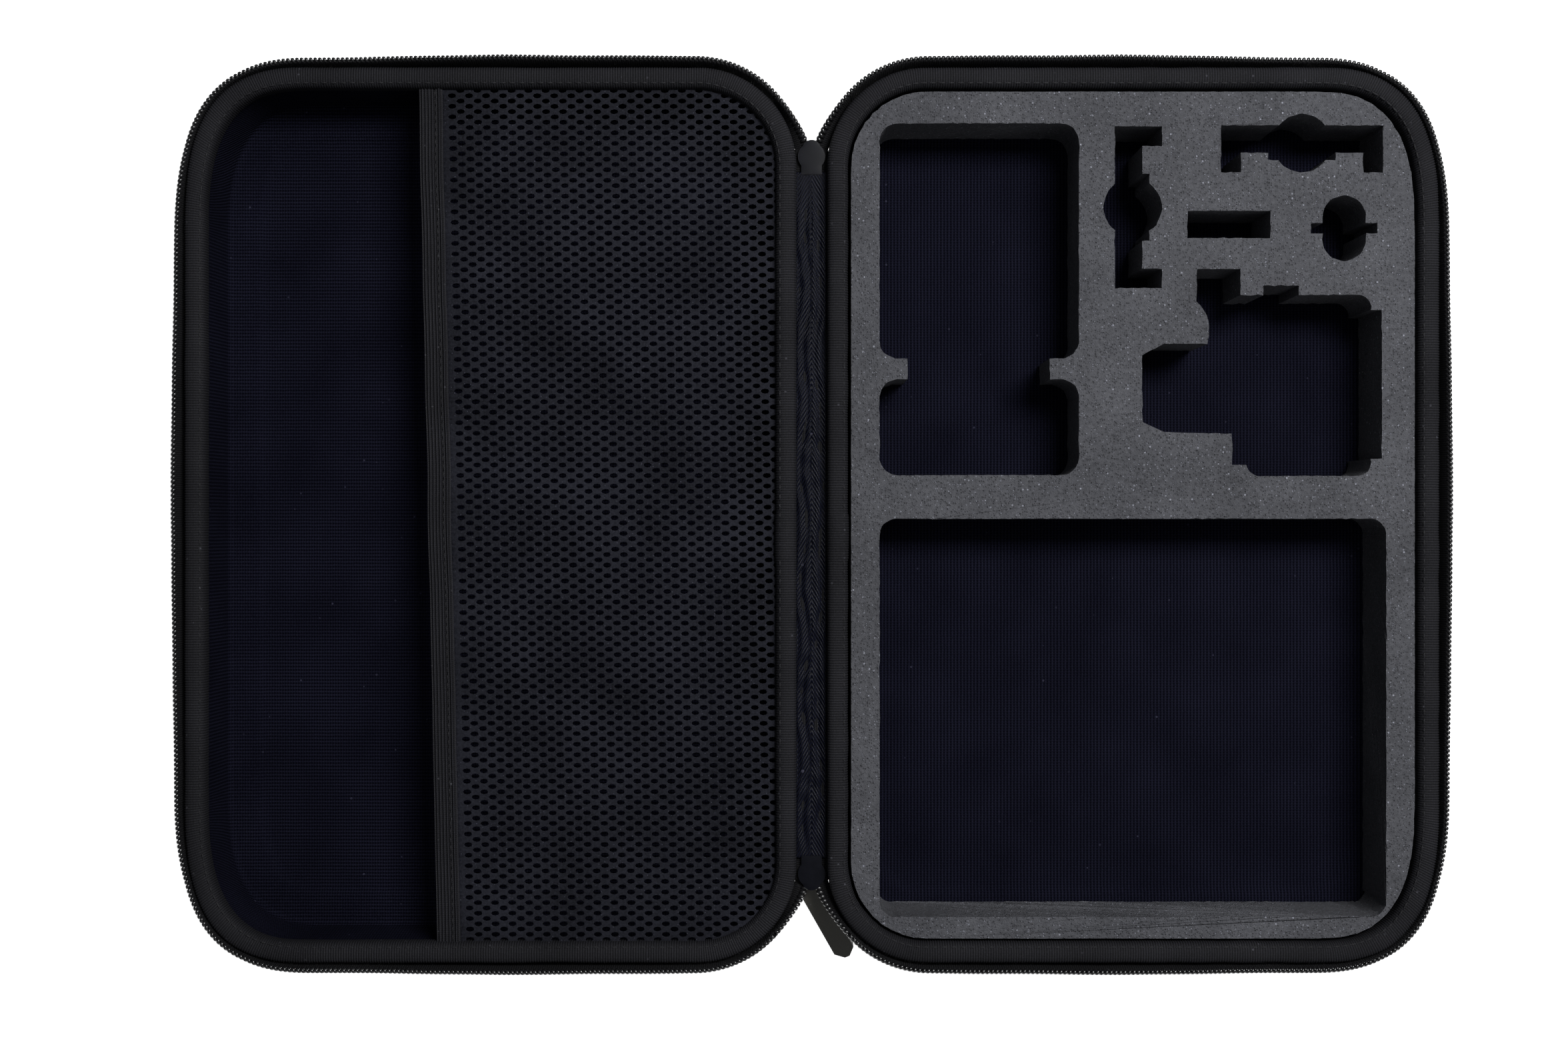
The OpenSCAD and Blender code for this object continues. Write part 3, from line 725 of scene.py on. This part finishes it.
def binding(name, mirror, seed):
    """Section point + its normal * (rib + slow waviness + overlap), carried round the rim."""
    count = 2 * int(round(ROUND / RIB))
    place, length = even_places(0, 8, count, whole=True)
    rib = np.where(np.arange(count) % 2 == 0, 0.15, -0.15)
    seam_at = np.interp(3.532, fine, fine_length)
    from_seam = np.abs(length - seam_at)
    overlap = 0.28 * np.clip((9.0 - from_seam) / 1.2, 0, 1)
    ripple = 0.16 * waves(length, 0 * length, 23.0, seed)
    # The ribbon is pulled tighter, so narrower, round the two full corners.
    tight = 0.55 * np.exp(-((np.minimum(np.abs(place - 6.5), np.abs(place - 0.5))) / 0.33) ** 2)
    normal = section_normals(edge_section)
    # Beside the spine the outer face stays flat, because it closes right over the sliders.
    beside = np.clip((1.5 - np.abs(place - 3.5)) / 0.3, 0, 1)
    outer_face = edge_section[:, 0] < 0.2
    move = (rib + ripple + overlap)[:, None] * shown * (1 - 0.8 * beside[:, None] * outer_face)
    inset = edge_section[:, 0] + normal[:, 0] * move
    z = edge_section[:, 1] + normal[:, 1] * move
    inset = inset - tight[:, None] * (shown * np.clip(edge_section[:, 0] / EDGE_IN, 0, 1))
    points = at_height(rim(place[:, None], inset), z)
    columns = len(edge_section)
    faces, i, j = quads(count, columns, True, True)
    width = np.concatenate([[0], np.cumsum(np.linalg.norm(np.diff(edge_section, axis=0), axis=1))])
    width = np.append(width, width[-1] + 3.0)
    uv = np.stack([i * (ROUND / count), width[j]], -1)
    uv[..., 0] *= 0.9 / (2 * ROUND / count)
    return make(name, points, [faces], [uv], mirror=mirror)


for side, mirror, seed in (("base", False, 3), ("lid", True, 8)):
    edge = binding(side + "_grosgrain_edge", mirror, seed)
    dress(edge, grosgrain, side, "grosgrain_binding", side + "_binding")

# %% [markdown]
# ## Stitches
#
# One line of lockstitch holds the binding down, near its inner edge. A stitch is a short thread that
# dives at both ends, so one small lozenge is worked out once and set down many times.

# %% Rows of stitches
def stitches(name, centre, ahead, up, long, thick):
    """A six-sided lozenge of five rings at every place: its radius is thick * sqrt(1 - t^2) along t."""
    t = np.linspace(-0.96, 0.96, 5)
    a = np.radians(np.arange(0, 360, 60))
    radius = thick / 2 * np.sqrt(1 - t ** 2)
    sink = thick * 0.45 * t ** 2
    along = np.repeat(t[:, None] * long / 2, 6, 1)
    side = radius[:, None] * np.cos(a) * 1.15
    lift = radius[:, None] * np.sin(a) * 0.8 - sink[:, None]
    across = np.cross(ahead, up)
    points = (centre[:, None, None] + along[..., None] * ahead[:, None, None]
              + side[..., None] * across[:, None, None] + lift[..., None] * up[:, None, None])
    faces, i, j = quads(5, 6, round_cols=True)
    offset = (np.arange(len(centre)) * 30)[:, None, None]
    body = (faces[None] + offset).reshape(-1, 4)
    first = (np.arange(6)[::-1][None] + offset[:, 0]).reshape(-1, 6)
    last = (np.arange(24, 30)[None] + offset[:, 0]).reshape(-1, 6)
    uv = np.tile(np.stack([j * thick, i * long / 4], -1), (len(centre), 1, 1))
    return make(name, points, [body, first, last], [uv])


STITCH_STEP, STITCH_IN, STITCH_Z = 3.4, 5.05, 35.66
for side, mirror in SIDES:
    count = int(ROUND / STITCH_STEP)
    place, _ = even_places(0, 8, count, whole=True)
    ahead = at_height(unit(rim(place + 0.002, STITCH_IN) - rim(place - 0.002, STITCH_IN)), 0.0)
    up = unit(at_height(-outward_at(place) * 0.45, 0.9))
    centre = at_height(rim(place, STITCH_IN), STITCH_Z)
    if mirror:
        centre = mirrored(centre)
        ahead = ahead * (-1, 1, 1)
        up = up * (-1, 1, 1)
    row = stitches(side + "_edge_stitches", centre, ahead, up, 2.7, 0.55)
    dress(row, thread_black, side, "grosgrain_binding")

# %% [markdown]
# ## Zip tape and nylon coil
#
# A coil zip is one nylon thread wound into a flattened spiral and sewn along a tape. The tape stands up
# behind the binding, leans outwards on the straights, and hugs the two full corners.
# The coil is a wire that winds about the tape's edge, one turn every 1.65 mm. Tape and coil share one
# description: a centre line, and the direction down the tape.

# %% Tape and coil along a line
PITCH, WIRE_R = 1.65, 0.44
TAPE_WIDE, TAPE_UP, COIL_OUT = 8.6, 0.9, 0.75


def frames_along(centre, down):
    """Directions ahead, to the side and down, all at right angles, at each point of a line."""
    ahead = unit(np.gradient(centre, axis=0))
    side = unit(np.cross(ahead, down))
    return ahead, side, np.cross(side, ahead)


def lengths(line):
    """Length along a line of points, from 0."""
    return np.concatenate([[0], np.cumsum(np.linalg.norm(np.diff(line, axis=0), axis=1))])


def coil_arrays(centre, down):
    """Wire centre = line + side * a cos(phi) + down * b sin(phi), phi = 2 pi length / pitch.

    The wire has six sides and is pressed flat, 1.6 times as wide along the zip as it is thick."""
    length = lengths(centre)
    turns = int(length[-1] / PITCH)
    count = turns * 11
    at = np.linspace(0, length[-1], count)
    line = np.stack([np.interp(at, length, centre[:, k]) for k in range(3)], 1)
    lean = np.stack([np.interp(at, length, down[:, k]) for k in range(3)], 1)
    _, side, low = frames_along(line, lean)
    phi = 2 * np.pi * np.arange(count) / 11.0
    a, b = COIL_T / 2 - WIRE_R, COIL_H / 2 - WIRE_R
    wire = line + side * (a * np.cos(phi))[:, None] + low * (b * np.sin(phi))[:, None]
    radial = unit(side * (b * np.cos(phi))[:, None] + low * (a * np.sin(phi))[:, None])
    ahead = unit(np.gradient(wire, axis=0))
    other = unit(np.cross(ahead, radial))
    radial = np.cross(other, ahead)
    turn = np.radians(np.arange(0, 360, 60))
    ring = radial[:, None] * np.cos(turn)[:, None] + 1.6 * other[:, None] * np.sin(turn)[:, None]
    points = (wire[:, None] + WIRE_R * ring).reshape(-1, 3)
    faces, i, j = quads(count, 6, round_cols=True)
    return points, faces, end_caps(count, 6), np.stack([i * 0.4, j * 0.45], -1)


def tape_arrays(centre, down, width, thick):
    """A flat strip behind the coil: a rounded loop of eight points, with its edge inside the coil."""
    _, side, low = frames_along(centre, down)
    w = np.broadcast_to(width, (len(centre),))[:, None]
    loop_d = np.array([0.0, 0.1, 0.5, 0.9, 1.0, 0.9, 0.5, 0.1])
    loop_s = np.array([0.0, 0.5, 0.5, 0.5, 0.0, -0.5, -0.5, -0.5]) * thick
    points = (centre[:, None] + low[:, None] * (loop_d * w)[..., None]
              + side[:, None] * loop_s[None, :, None])
    faces, i, j = quads(len(centre), 8, round_cols=True)
    uv = np.stack([lengths(centre)[i], j * 2.2], -1)
    return points.reshape(-1, 3), faces, end_caps(len(centre), 8), uv


def zip_line(places):
    """Coil centre and tape direction on the rim: the tape leans out by an amount that depends on place."""
    lean = np.interp(places,
                     [4.0, 4.5, 5.0, 5.5, 6.0, 6.25, 6.75, 7.0, 7.5, 8.0, 8.25, 8.75, 9.0, 9.5, 10.0, 11.0],
                     [0.6, 0.8, 1.5, 1.9, 1.1, 0.2, 0.2, 1.1, 2.6, 1.1, 0.2, 0.2, 1.1, 2.2, 1.7, 0.6])
    lean = lean + 0.25 * waves(np.interp(places, fine, fine_length), 0 * places, 60.0, 5)
    lean = np.clip(lean, 0.1, None)
    centre = at_height(rim(places, -EDGE_OUT - TAPE_T / 2 - 0.1 - lean), TAPE_TOP - COIL_H / 2)
    return centre, unit(at_height(-outward_at(places) * (lean / 9.0)[:, None], -1.0))


def merged(parts):
    """Joins several (points, faces, caps, uv) into one list of arrays for make()."""
    points, faces, uv, at = [], [], [], 0
    for p, f, caps, u in parts:
        points.append(p)
        faces += [f + at, caps + at]
        uv += [u, np.zeros(caps.shape + (2,))]
        at += len(p)
    return np.concatenate(points), faces, uv


ZIP_FROM, ZIP_TO = 4.0 + 42 / 90, 10.0 + 48 / 90
places, _ = even_places(ZIP_FROM, ZIP_TO, 900)
line, down = zip_line(places)
coil_line = line + at_height(outward_at(places), 0.0) * COIL_OUT + down * 0.1
for side, mirror in SIDES:
    arrays = merged([tape_arrays(line - down * TAPE_UP, down, TAPE_WIDE, TAPE_T)])
    strip = make(side + "_tape", *arrays, mirror=mirror)
    dress(strip, tape_cloth, side, "zip_tape", side + "_zip_tape")
    spiral = make(side + "_coil", *merged([coil_arrays(coil_line, down)]), mirror=mirror)
    dress(spiral, nylon, side, "zip_coil", side + "_zip_coil")

# %% [markdown]
# ### The last stretch into each slider
#
# At the spine the two tapes run together in a V and enter the slider. That stretch bends when the lid
# closes, so it is a piece of its own. Its line is a cubic curve to the slider's mouth, its tape turns from
# upright to flat on the way, and a short end of tape runs on through the slider's side slot to the spine
# strip.

# %% Zip ends into the sliders
slider_low, slider_high = box_mm("head_slider")
SLIDER_Y = (slider_low[1] + slider_high[1]) / 2
SLIDER_TOP = slider_high[2]
t = np.linspace(0, 1, 60)[:, None]
for end, sign in (("head", 1), ("foot", -1)):
    at = ZIP_TO if sign > 0 else ZIP_FROM
    step = 0.01 if sign > 0 else -0.01
    begin, fall = zip_line(np.array([at - step, at]))
    normal = np.append(outward_at(np.array([at]))[0], 0)
    first = begin[1] + normal * COIL_OUT + fall[1] * 0.1
    heading = unit(begin[1] - begin[0])
    mouth = np.array([SPINE_X + 2.0, sign * (SLIDER_Y + 3.6), SLIDER_TOP - 2.1])
    c1 = first + heading * 7.5
    c2 = mouth + np.array([0.9, sign * 4.6, 1.6])
    curve = ((1 - t) ** 3 * first + 3 * (1 - t) ** 2 * t * c1 + 3 * (1 - t) * t * t * c2 + t ** 3 * mouth)
    flat = np.array([1.0, 0.0, -0.15])
    turn = t * t * (3 - 2 * t)
    fallen = unit((1 - turn) * fall[1] + turn * flat)
    shifted = curve - (1 - turn) * normal * COIL_OUT
    on = np.linspace(0, 1, 14)[1:, None]
    behind = shifted[-1] + (np.array([mouth[0], sign * 123.9, mouth[2]]) - shifted[-1]) * on
    tape_line = np.concatenate([shifted, behind])
    tape_fall = np.concatenate([fallen, np.tile(unit(np.array([1.0, 0.0, 0.0])), (13, 1))])
    tape_wide = np.concatenate([(TAPE_WIDE - 3.6 * turn)[:, 0], np.full(13, 5.0)])
    pieces_of_end = [coil_arrays(curve, fallen),
                     tape_arrays(tape_line - tape_fall * TAPE_UP, tape_fall, tape_wide, TAPE_T)]
    for side, mirror in SIDES:
        made = make(f"{side}_zip_end_{end}", *merged(pieces_of_end), mirror=mirror)
        coil_faces = len(pieces_of_end[0][1]) + 2
        made.data.materials.append(nylon)
        made.data.materials.append(tape_cloth)
        index = (np.arange(len(made.data.polygons)) >= coil_faces).astype(np.int32)
        made.data.polygons.foreach_set("material_index", index)
        blend_half(made, mirror, first, mouth)
        print(made.name, len(made.data.polygons), "faces")

# %% [markdown]
# ## The foam insert
#
# The insert is one block of soft foam with die-cut pockets. The solid part already has every pocket, so a
# copy of it is softened: its cut edges are divided finely and moved up to 0.4 mm off line, as a cutting die
# leaves them, and a small bevel rounds them.

# %% Foam insert
def plain_copy(node, name, flatten=True):
    """A merged copy of a solid part: doubled corners joined, and flat neighbours made one face if asked."""
    made = bpy.data.objects.new(name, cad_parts[node].data.copy())
    bpy.context.scene.collection.objects.link(made)
    mesh = bmesh.new()
    mesh.from_mesh(made.data)
    bmesh.ops.remove_doubles(mesh, verts=mesh.verts, dist=2e-6)
    if flatten:
        bmesh.ops.dissolve_limit(mesh, angle_limit=math.radians(1.0), verts=mesh.verts, edges=mesh.edges)
    bmesh.ops.recalc_face_normals(mesh, faces=mesh.faces)
    return made, mesh


def bevelled(made, width, segments, angle=35.0):
    """A bevel in millimetres on every edge sharper than the angle."""
    modifier = made.modifiers.new("Soft edges", "BEVEL")
    modifier.width = width * 0.001
    modifier.segments = segments
    modifier.limit_method = "ANGLE"
    modifier.angle_limit = math.radians(angle)
    modifier.use_clamp_overlap = True
    return made


block, mesh = plain_copy("foam_insert", "cut_foam_insert", flatten=False)
by_cuts = {}
for e in mesh.edges:
    flat = abs(e.verts[0].co.z - e.verts[1].co.z) < 1e-6
    bent = len(e.link_faces) == 2 and e.calc_face_angle(0.0) > math.radians(30)
    cuts = int(e.calc_length() / 0.0022) if flat and bent else 0
    if cuts:
        by_cuts.setdefault(cuts, []).append(e)
for cuts, edges in by_cuts.items():
    bmesh.ops.subdivide_edges(mesh, edges=edges, cuts=cuts)
bmesh.ops.triangulate(mesh, faces=mesh.faces)
mesh.to_mesh(block.data)
mesh.free()
co = np.empty(len(block.data.vertices) * 3)
block.data.vertices.foreach_get("co", co)
co = co.reshape(-1, 3) * 1000
inside = (np.abs(co[:, 0]) < HALF_W - 12) & (np.abs(co[:, 1]) < HALF_L - 12)
amount = np.where(inside, 0.24, 0.10)
co[:, 0] += amount * (waves(co[:, 0], co[:, 1], 7.0, 11) + 0.7 * waves(co[:, 0], co[:, 1], 2.9, 12))
co[:, 1] += amount * (waves(co[:, 0], co[:, 1], 7.0, 13) + 0.7 * waves(co[:, 0], co[:, 1], 2.9, 14))
block.data.vertices.foreach_set("co", (co * 0.001).ravel())
block.data.polygons.foreach_set("use_smooth", np.zeros(len(block.data.polygons), bool))
block.data.update()
bevelled(block, 0.45, 2)
dress(block, foam, "base", "insert_foam", "foam_insert")

# %% [markdown]
# ## The mesh pocket
#
# Half the lid is covered by a knitted mesh whose oval holes are real, because the lining shows through
# them. It is a checkerboard of small cells: every other one has an eight-sided hole joined to its sides by
# eight quads. The grid leans with the elastic, cells that would pass the rim are pulled back under the
# binding, and the cloth sags a little. A Solidify modifier gives it its thickness.

# %% Mesh cloth with real holes
mesh_low, mesh_high = box_mm("mesh_pocket")
MESH_Z = (mesh_low[2] + mesh_high[2]) / 2
CELL_X, CELL_Y = 3.1, 1.92
HOLE_X, HOLE_Y = 1.5, 0.9
ELASTIC_W = 8.5
ELASTIC_HEAD, ELASTIC_FOOT = -26.5, -19.5


def elastic_line(y):
    """The elastic's free edge: a straight line from the head to the foot, in the lid's own x."""
    return ELASTIC_FOOT + (ELASTIC_HEAD - ELASTIC_FOOT) * (y + HALF_L) / (2 * HALF_L)


def under_binding(x, y, inset):
    """Moves points outside the lid's rim, moved in by inset, back to it. x is measured in the lid."""
    x = np.minimum(x, HALF_W - inset)
    y = np.clip(y, inset - HALF_L, HALF_L - inset)
    cx, cy = HALF_W - HINGE_R, np.sign(y) * (HALF_L - HINGE_R)
    dx, dy = x - cx, y - cy
    far = np.hypot(dx, dy)
    outside = (dx > 0) & (dy * np.sign(y) > 0) & (far > HINGE_R - inset)
    scale = np.where(outside, (HINGE_R - inset) / np.maximum(far, 1e-9), 1.0)
    return cx + dx * scale, cy + dy * scale


def cloth_height(x, y):
    """Sag in the middle, plus shallow ripples that run from the elastic to the spine."""
    u = np.clip((x - ELASTIC_HEAD) / (HALF_W - ELASTIC_HEAD), 0, 1)
    v = np.clip(np.abs(y) / HALF_L, 0, 1)
    belly = np.sin(np.pi * u) * (1 - v ** 4)
    return MESH_Z - 0.9 * belly + 0.45 * belly * waves(x, y * 0.35, 34.0, 21)


columns = int((HALF_W - 5.2 - (ELASTIC_HEAD + ELASTIC_W - 1.0)) / CELL_X) + 4
rows = int(2 * (HALF_L - 5.2) / CELL_Y) + 2
i, j = np.meshgrid(np.arange(2 * columns + 1), np.arange(2 * rows + 1), indexing="ij")
y = (j - rows) * CELL_Y / 2
x = elastic_line(y) + ELASTIC_W - 1.2 + i * CELL_X / 2
lattice = np.stack([x, y], -1)
cell_i, cell_j = np.meshgrid(np.arange(columns), np.arange(rows), indexing="ij")
cell_i, cell_j = cell_i.ravel(), cell_j.ravel()
centre = lattice[2 * cell_i + 1, 2 * cell_j + 1]
pulled = np.stack(under_binding(centre[:, 0], centre[:, 1], 5.6), -1)
off = np.linalg.norm(centre - pulled, axis=1)
keep = off < 2.6
holed = keep & (off < 0.05) & ((cell_i + cell_j) % 2 == 0)
holed &= centre[:, 0] > elastic_line(centre[:, 1]) + ELASTIC_W + 1.0
solid = keep & ~holed
stride = 2 * rows + 1
around_i = np.array([2, 2, 1, 0, 0, 0, 1, 2])
around_j = np.array([1, 2, 2, 2, 1, 0, 0, 0])
edge_of = (2 * cell_i[:, None] + around_i) * stride + 2 * cell_j[:, None] + around_j
turn = np.radians(np.arange(0, 360, 45))
wobble = 0.10 * waves(centre[holed, 0] * 7.3, centre[holed, 1] * 5.1, 11.0, 31)[:, None]
oval = np.stack([centre[holed, 0, None] + (HOLE_X + wobble) * np.cos(turn),
                 centre[holed, 1, None] + (HOLE_Y + wobble * 0.6) * np.sin(turn)], -1)
first = lattice.shape[0] * lattice.shape[1]
inner = first + np.arange(oval.shape[0] * 8).reshape(-1, 8)
outer = edge_of[holed]
ring = np.stack([outer, np.roll(outer, -1, 1), np.roll(inner, -1, 1), inner], -1).reshape(-1, 4)
plan = np.concatenate([lattice.reshape(-1, 2), oval.reshape(-1, 2)])
px, py = under_binding(plan[:, 0], plan[:, 1], 5.3)
points = np.column_stack([px, py, cloth_height(px, py)])
points[:, 0] += LID_X
used = np.unique(np.concatenate([ring.ravel(), edge_of[solid].ravel()]))
renumber = np.zeros(len(points), int)
renumber[used] = np.arange(len(used))
net_faces = [renumber[ring], renumber[edge_of[solid]]]
net = make("net_pocket", points[used], net_faces, turn_out=False)
thicken = net.modifiers.new("Cloth thickness", "SOLIDIFY")
thicken.thickness = 0.00036
thicken.offset = 0.0
dress(net, yarn, None, "mesh_net", "mesh_pocket")
print("holes", int(holed.sum()), "cells", int(keep.sum()))

# %% [markdown]
# ## The elastic along the pocket
#
# A knitted elastic band finishes the pocket's free edge. Its section is a flat loop with seven lengthwise
# ribs and a thicker cord beside the mesh, carried along the slanting line from foot to head. A line of
# stitches lies in a groove at about two thirds of its width.

# %% Elastic band
across = np.linspace(0, ELASTIC_W, 57)
ribs_up = 0.17 * np.cos(2 * np.pi * across / 1.2)
cord_up = 0.50 * np.exp(-((across - 7.3) / 0.62) ** 2)
edge_down = -0.55 * np.exp(-across / 0.35) - 0.55 * np.exp(-(ELASTIC_W - across) / 0.35)
top = 0.62 + ribs_up + cord_up + edge_down
stitch_dent = -0.62 * np.exp(-((across - 5.7) / 0.32) ** 2)
under = -0.62 - 0.3 * edge_down
section = np.concatenate([np.stack([across, top + stitch_dent], 1), np.stack([across, under], 1)[::-4]])
count = 220
along = np.linspace(5.4 - HALF_L, HALF_L - 5.4, count)
drift = 0.28 * waves(along, along * 0, 46.0, 41)
height = MESH_Z + 0.45 + 0.22 * waves(along, along * 0, 31.0, 42) - 0.35 * (1 - (along / HALF_L) ** 2)
px = LID_X + elastic_line(along)[:, None] + drift[:, None] + section[:, 0]
points = xyz(px, along[:, None], height[:, None] + section[:, 1])
band = tube("pocket_elastic_band", points, np.append(section[:, 0], section[0, 0]), 2 * HALF_L / count)
dress(band, elastic_cloth, "lid", "elastic_band", "pocket_elastic")

sewn = np.linspace(8.0 - HALF_L, HALF_L - 8.0, 105)
sewn_z = np.interp(sewn, along, height) + 0.30
centre = np.column_stack([LID_X + elastic_line(sewn) + 5.7 + np.interp(sewn, along, drift), sewn, sewn_z])
ahead = np.tile((0.02, 1.0, 0.0), (len(sewn), 1))
up = np.tile((0.0, 0.0, 1.0), (len(sewn), 1))
seam = stitches("elastic_stitches", centre, unit(ahead), up, 2.4, 0.5)
dress(seam, thread_black, "lid", "elastic_band")
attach(net, "lid")

# %% [markdown]
# ## The spine
#
# Inside, the spine is a strip of navy satin, gathered a little so that it can fold. Outside it is a strip
# of the cover's cloth. Each strip is made in two halves that meet in the middle. Its section runs level
# and then turns down under the binding.

# %% Spine strips
strip_low, strip_high = box_mm("spine_lining")
_, outer_high = box_mm("spine_cover")


def spine_half(name, level, depth, pucker, thick, seed, mirror):
    """Section: level from the middle to the binding, then down beside it, with pleats that wander along y."""
    flat_x = np.linspace(SPINE_X - 0.02, SPINE_X + 5.1, 16)
    bend = np.radians(np.linspace(0, 90, 5))[1:]
    x = np.concatenate([flat_x, SPINE_X + 5.1 + 0.85 * np.sin(bend), np.full(6, SPINE_X + 5.95)])
    z = np.concatenate([np.full(16, level), level - 0.85 * (1 - np.cos(bend)),
                        level - 0.85 - np.linspace(0, depth, 7)[1:]])
    count = 420
    y = np.linspace(strip_low[1] - 1.5, strip_high[1] + 1.5, count)
    across = np.clip((x - SPINE_X) / 5.6, 0, 1)
    slow = waves(y, 0 * y, 52.0, seed)[:, None]
    pleat = np.sin(2 * np.pi * (1.25 * across[None] + 0.8 * slow + 0.2))
    crumple = waves(y[:, None], across[None] * 7.0, 13.0, seed + 1)
    middle = 0.5 * waves(y, 0 * y, 27.0, 70)[:, None] + 0.5 * waves(y, 0 * y, 9.0, 71)[:, None]
    within = np.sqrt(np.clip(4 * across * (1 - across), 0, 1))[None]
    lift = pucker * (0.75 * within * (pleat + 0.9 * crumple) + 0.8 * (1 - across[None]) * middle)
    lift = lift * (1 - (np.abs(y[:, None]) / (strip_high[1] + 2)) ** 16) * (x < SPINE_X + 5.2)
    zz = z[None] + lift
    top = xyz(x, y[:, None], zz)
    slope = unit(np.gradient(np.stack([x, z], 1), axis=0))
    below = top + xyz(slope[:, 1], 0.0, -slope[:, 0]) * thick
    run = lengths(np.stack([x, z], 1))
    run = np.concatenate([run, run[::-1], run[:1]])
    loop = np.concatenate([top, below[:, ::-1]], 1)
    return tube(name, loop, run, (y[-1] - y[0]) / (count - 1), mirror)


fold_ends = (SPINE_X + 6.3, 0, strip_high[2]), (SPINE_X + 4.3, 0, strip_high[2])
for side, mirror in SIDES:
    seed = 88 if mirror else 51
    half = spine_half(side + "_spine_satin", strip_high[2] - 0.35, 4.4, 0.62, 0.22, seed, mirror)
    dress(half, satin, None, "satin_strip", "spine_lining")
    blend_half(half, mirror, *fold_ends)
    half = spine_half(side + "_spine_cloth", outer_high[2] - 0.35, 3.6, 0.12, 0.5, 61, mirror)
    dress(half, cover_cloth, None, "cover_fabric", "spine_cover")
    blend_half(half, mirror, *fold_ends)

# %% [markdown]
# ## Sliders and pulls
#
# The sliders, links and rubber tabs are hard, and their solid parts are already right. Softened copies
# stand for them, with small bevels that catch the light. Each slider's enamelled back is very slightly
# domed, so a low dome with the slider's own outline is added. It has to stay low, because the bindings
# close right over it.

# %% Softened copies
def softened(node, name, material, body, slot, width, segments=3):
    """A merged copy of a hard part with bevelled edges."""
    made, mesh = plain_copy(node, name)
    mesh.to_mesh(made.data)
    mesh.free()
    made.data.polygons.foreach_set("use_smooth", np.zeros(len(made.data.polygons), bool))
    bevelled(made, width, segments, 30.0)
    return dress(made, material, body, slot, node)


for end in ("head", "foot"):
    softened(end + "_slider", end + "_slider_body", enamel, "spine", "slider_enamel", 0.22)
    softened(end + "_pull_link", end + "_wire_link", dark_metal, end + "_link", "link_metal", 0.16)
    softened(end + "_pull_tab", end + "_rubber_tab", rubber, end + "_tab", "pull_rubber", 0.55)

# %% Domed slider backs
SLIDER_L, SHOULDER_R, REAR_HALF, NOSE_R = 12.7, 5.0, 3.75, 3.4


def slider_half_width(y):
    """The widest of a square rear, a round shoulder and a blunt nose."""
    rear = np.where(y < 0.3, REAR_HALF, 0.0)
    shoulder = np.sqrt(np.clip(SHOULDER_R ** 2 - (y - 0.3) ** 2, 0, None))
    nose = np.sqrt(np.clip(NOSE_R ** 2 - (y - (SLIDER_L / 2 - NOSE_R)) ** 2, 0, None))
    return np.maximum(np.maximum(rear, shoulder), nose)


for end, sign in (("head", 1), ("foot", -1)):
    t = (1 - np.cos(np.linspace(0, np.pi, 49))) / 2
    y = (t - 0.5) * (SLIDER_L - 0.5)
    s = np.sin(np.linspace(-np.pi / 2, np.pi / 2, 33))
    half = np.maximum(slider_half_width(y) - 0.25, 0.02)
    x = half[:, None] * s
    rise = 0.08 * (1 - s ** 2)[None] ** 0.75 * (1 - (2 * y / SLIDER_L) ** 6)[:, None] ** 0.8
    top = xyz(x, y[:, None], 0.01 + rise)
    low = xyz(x, y[:, None], -0.25)
    loop = np.concatenate([top, low[:, ::-1]], 1)
    loop = loop * (sign, sign, 1) + (SPINE_X, sign * SLIDER_Y, SLIDER_TOP)
    back = tube(end + "_slider_back", loop)
    dress(back, enamel, "spine", "slider_enamel")

# %% [markdown]
# ## Finish
#
# The last lines list the solid parts that are still shown.

# %% Solid parts still shown
bpy.context.view_layer.update()
left = [n for n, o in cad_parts.items() if not o.hide_render]
print("solid parts still shown", left)
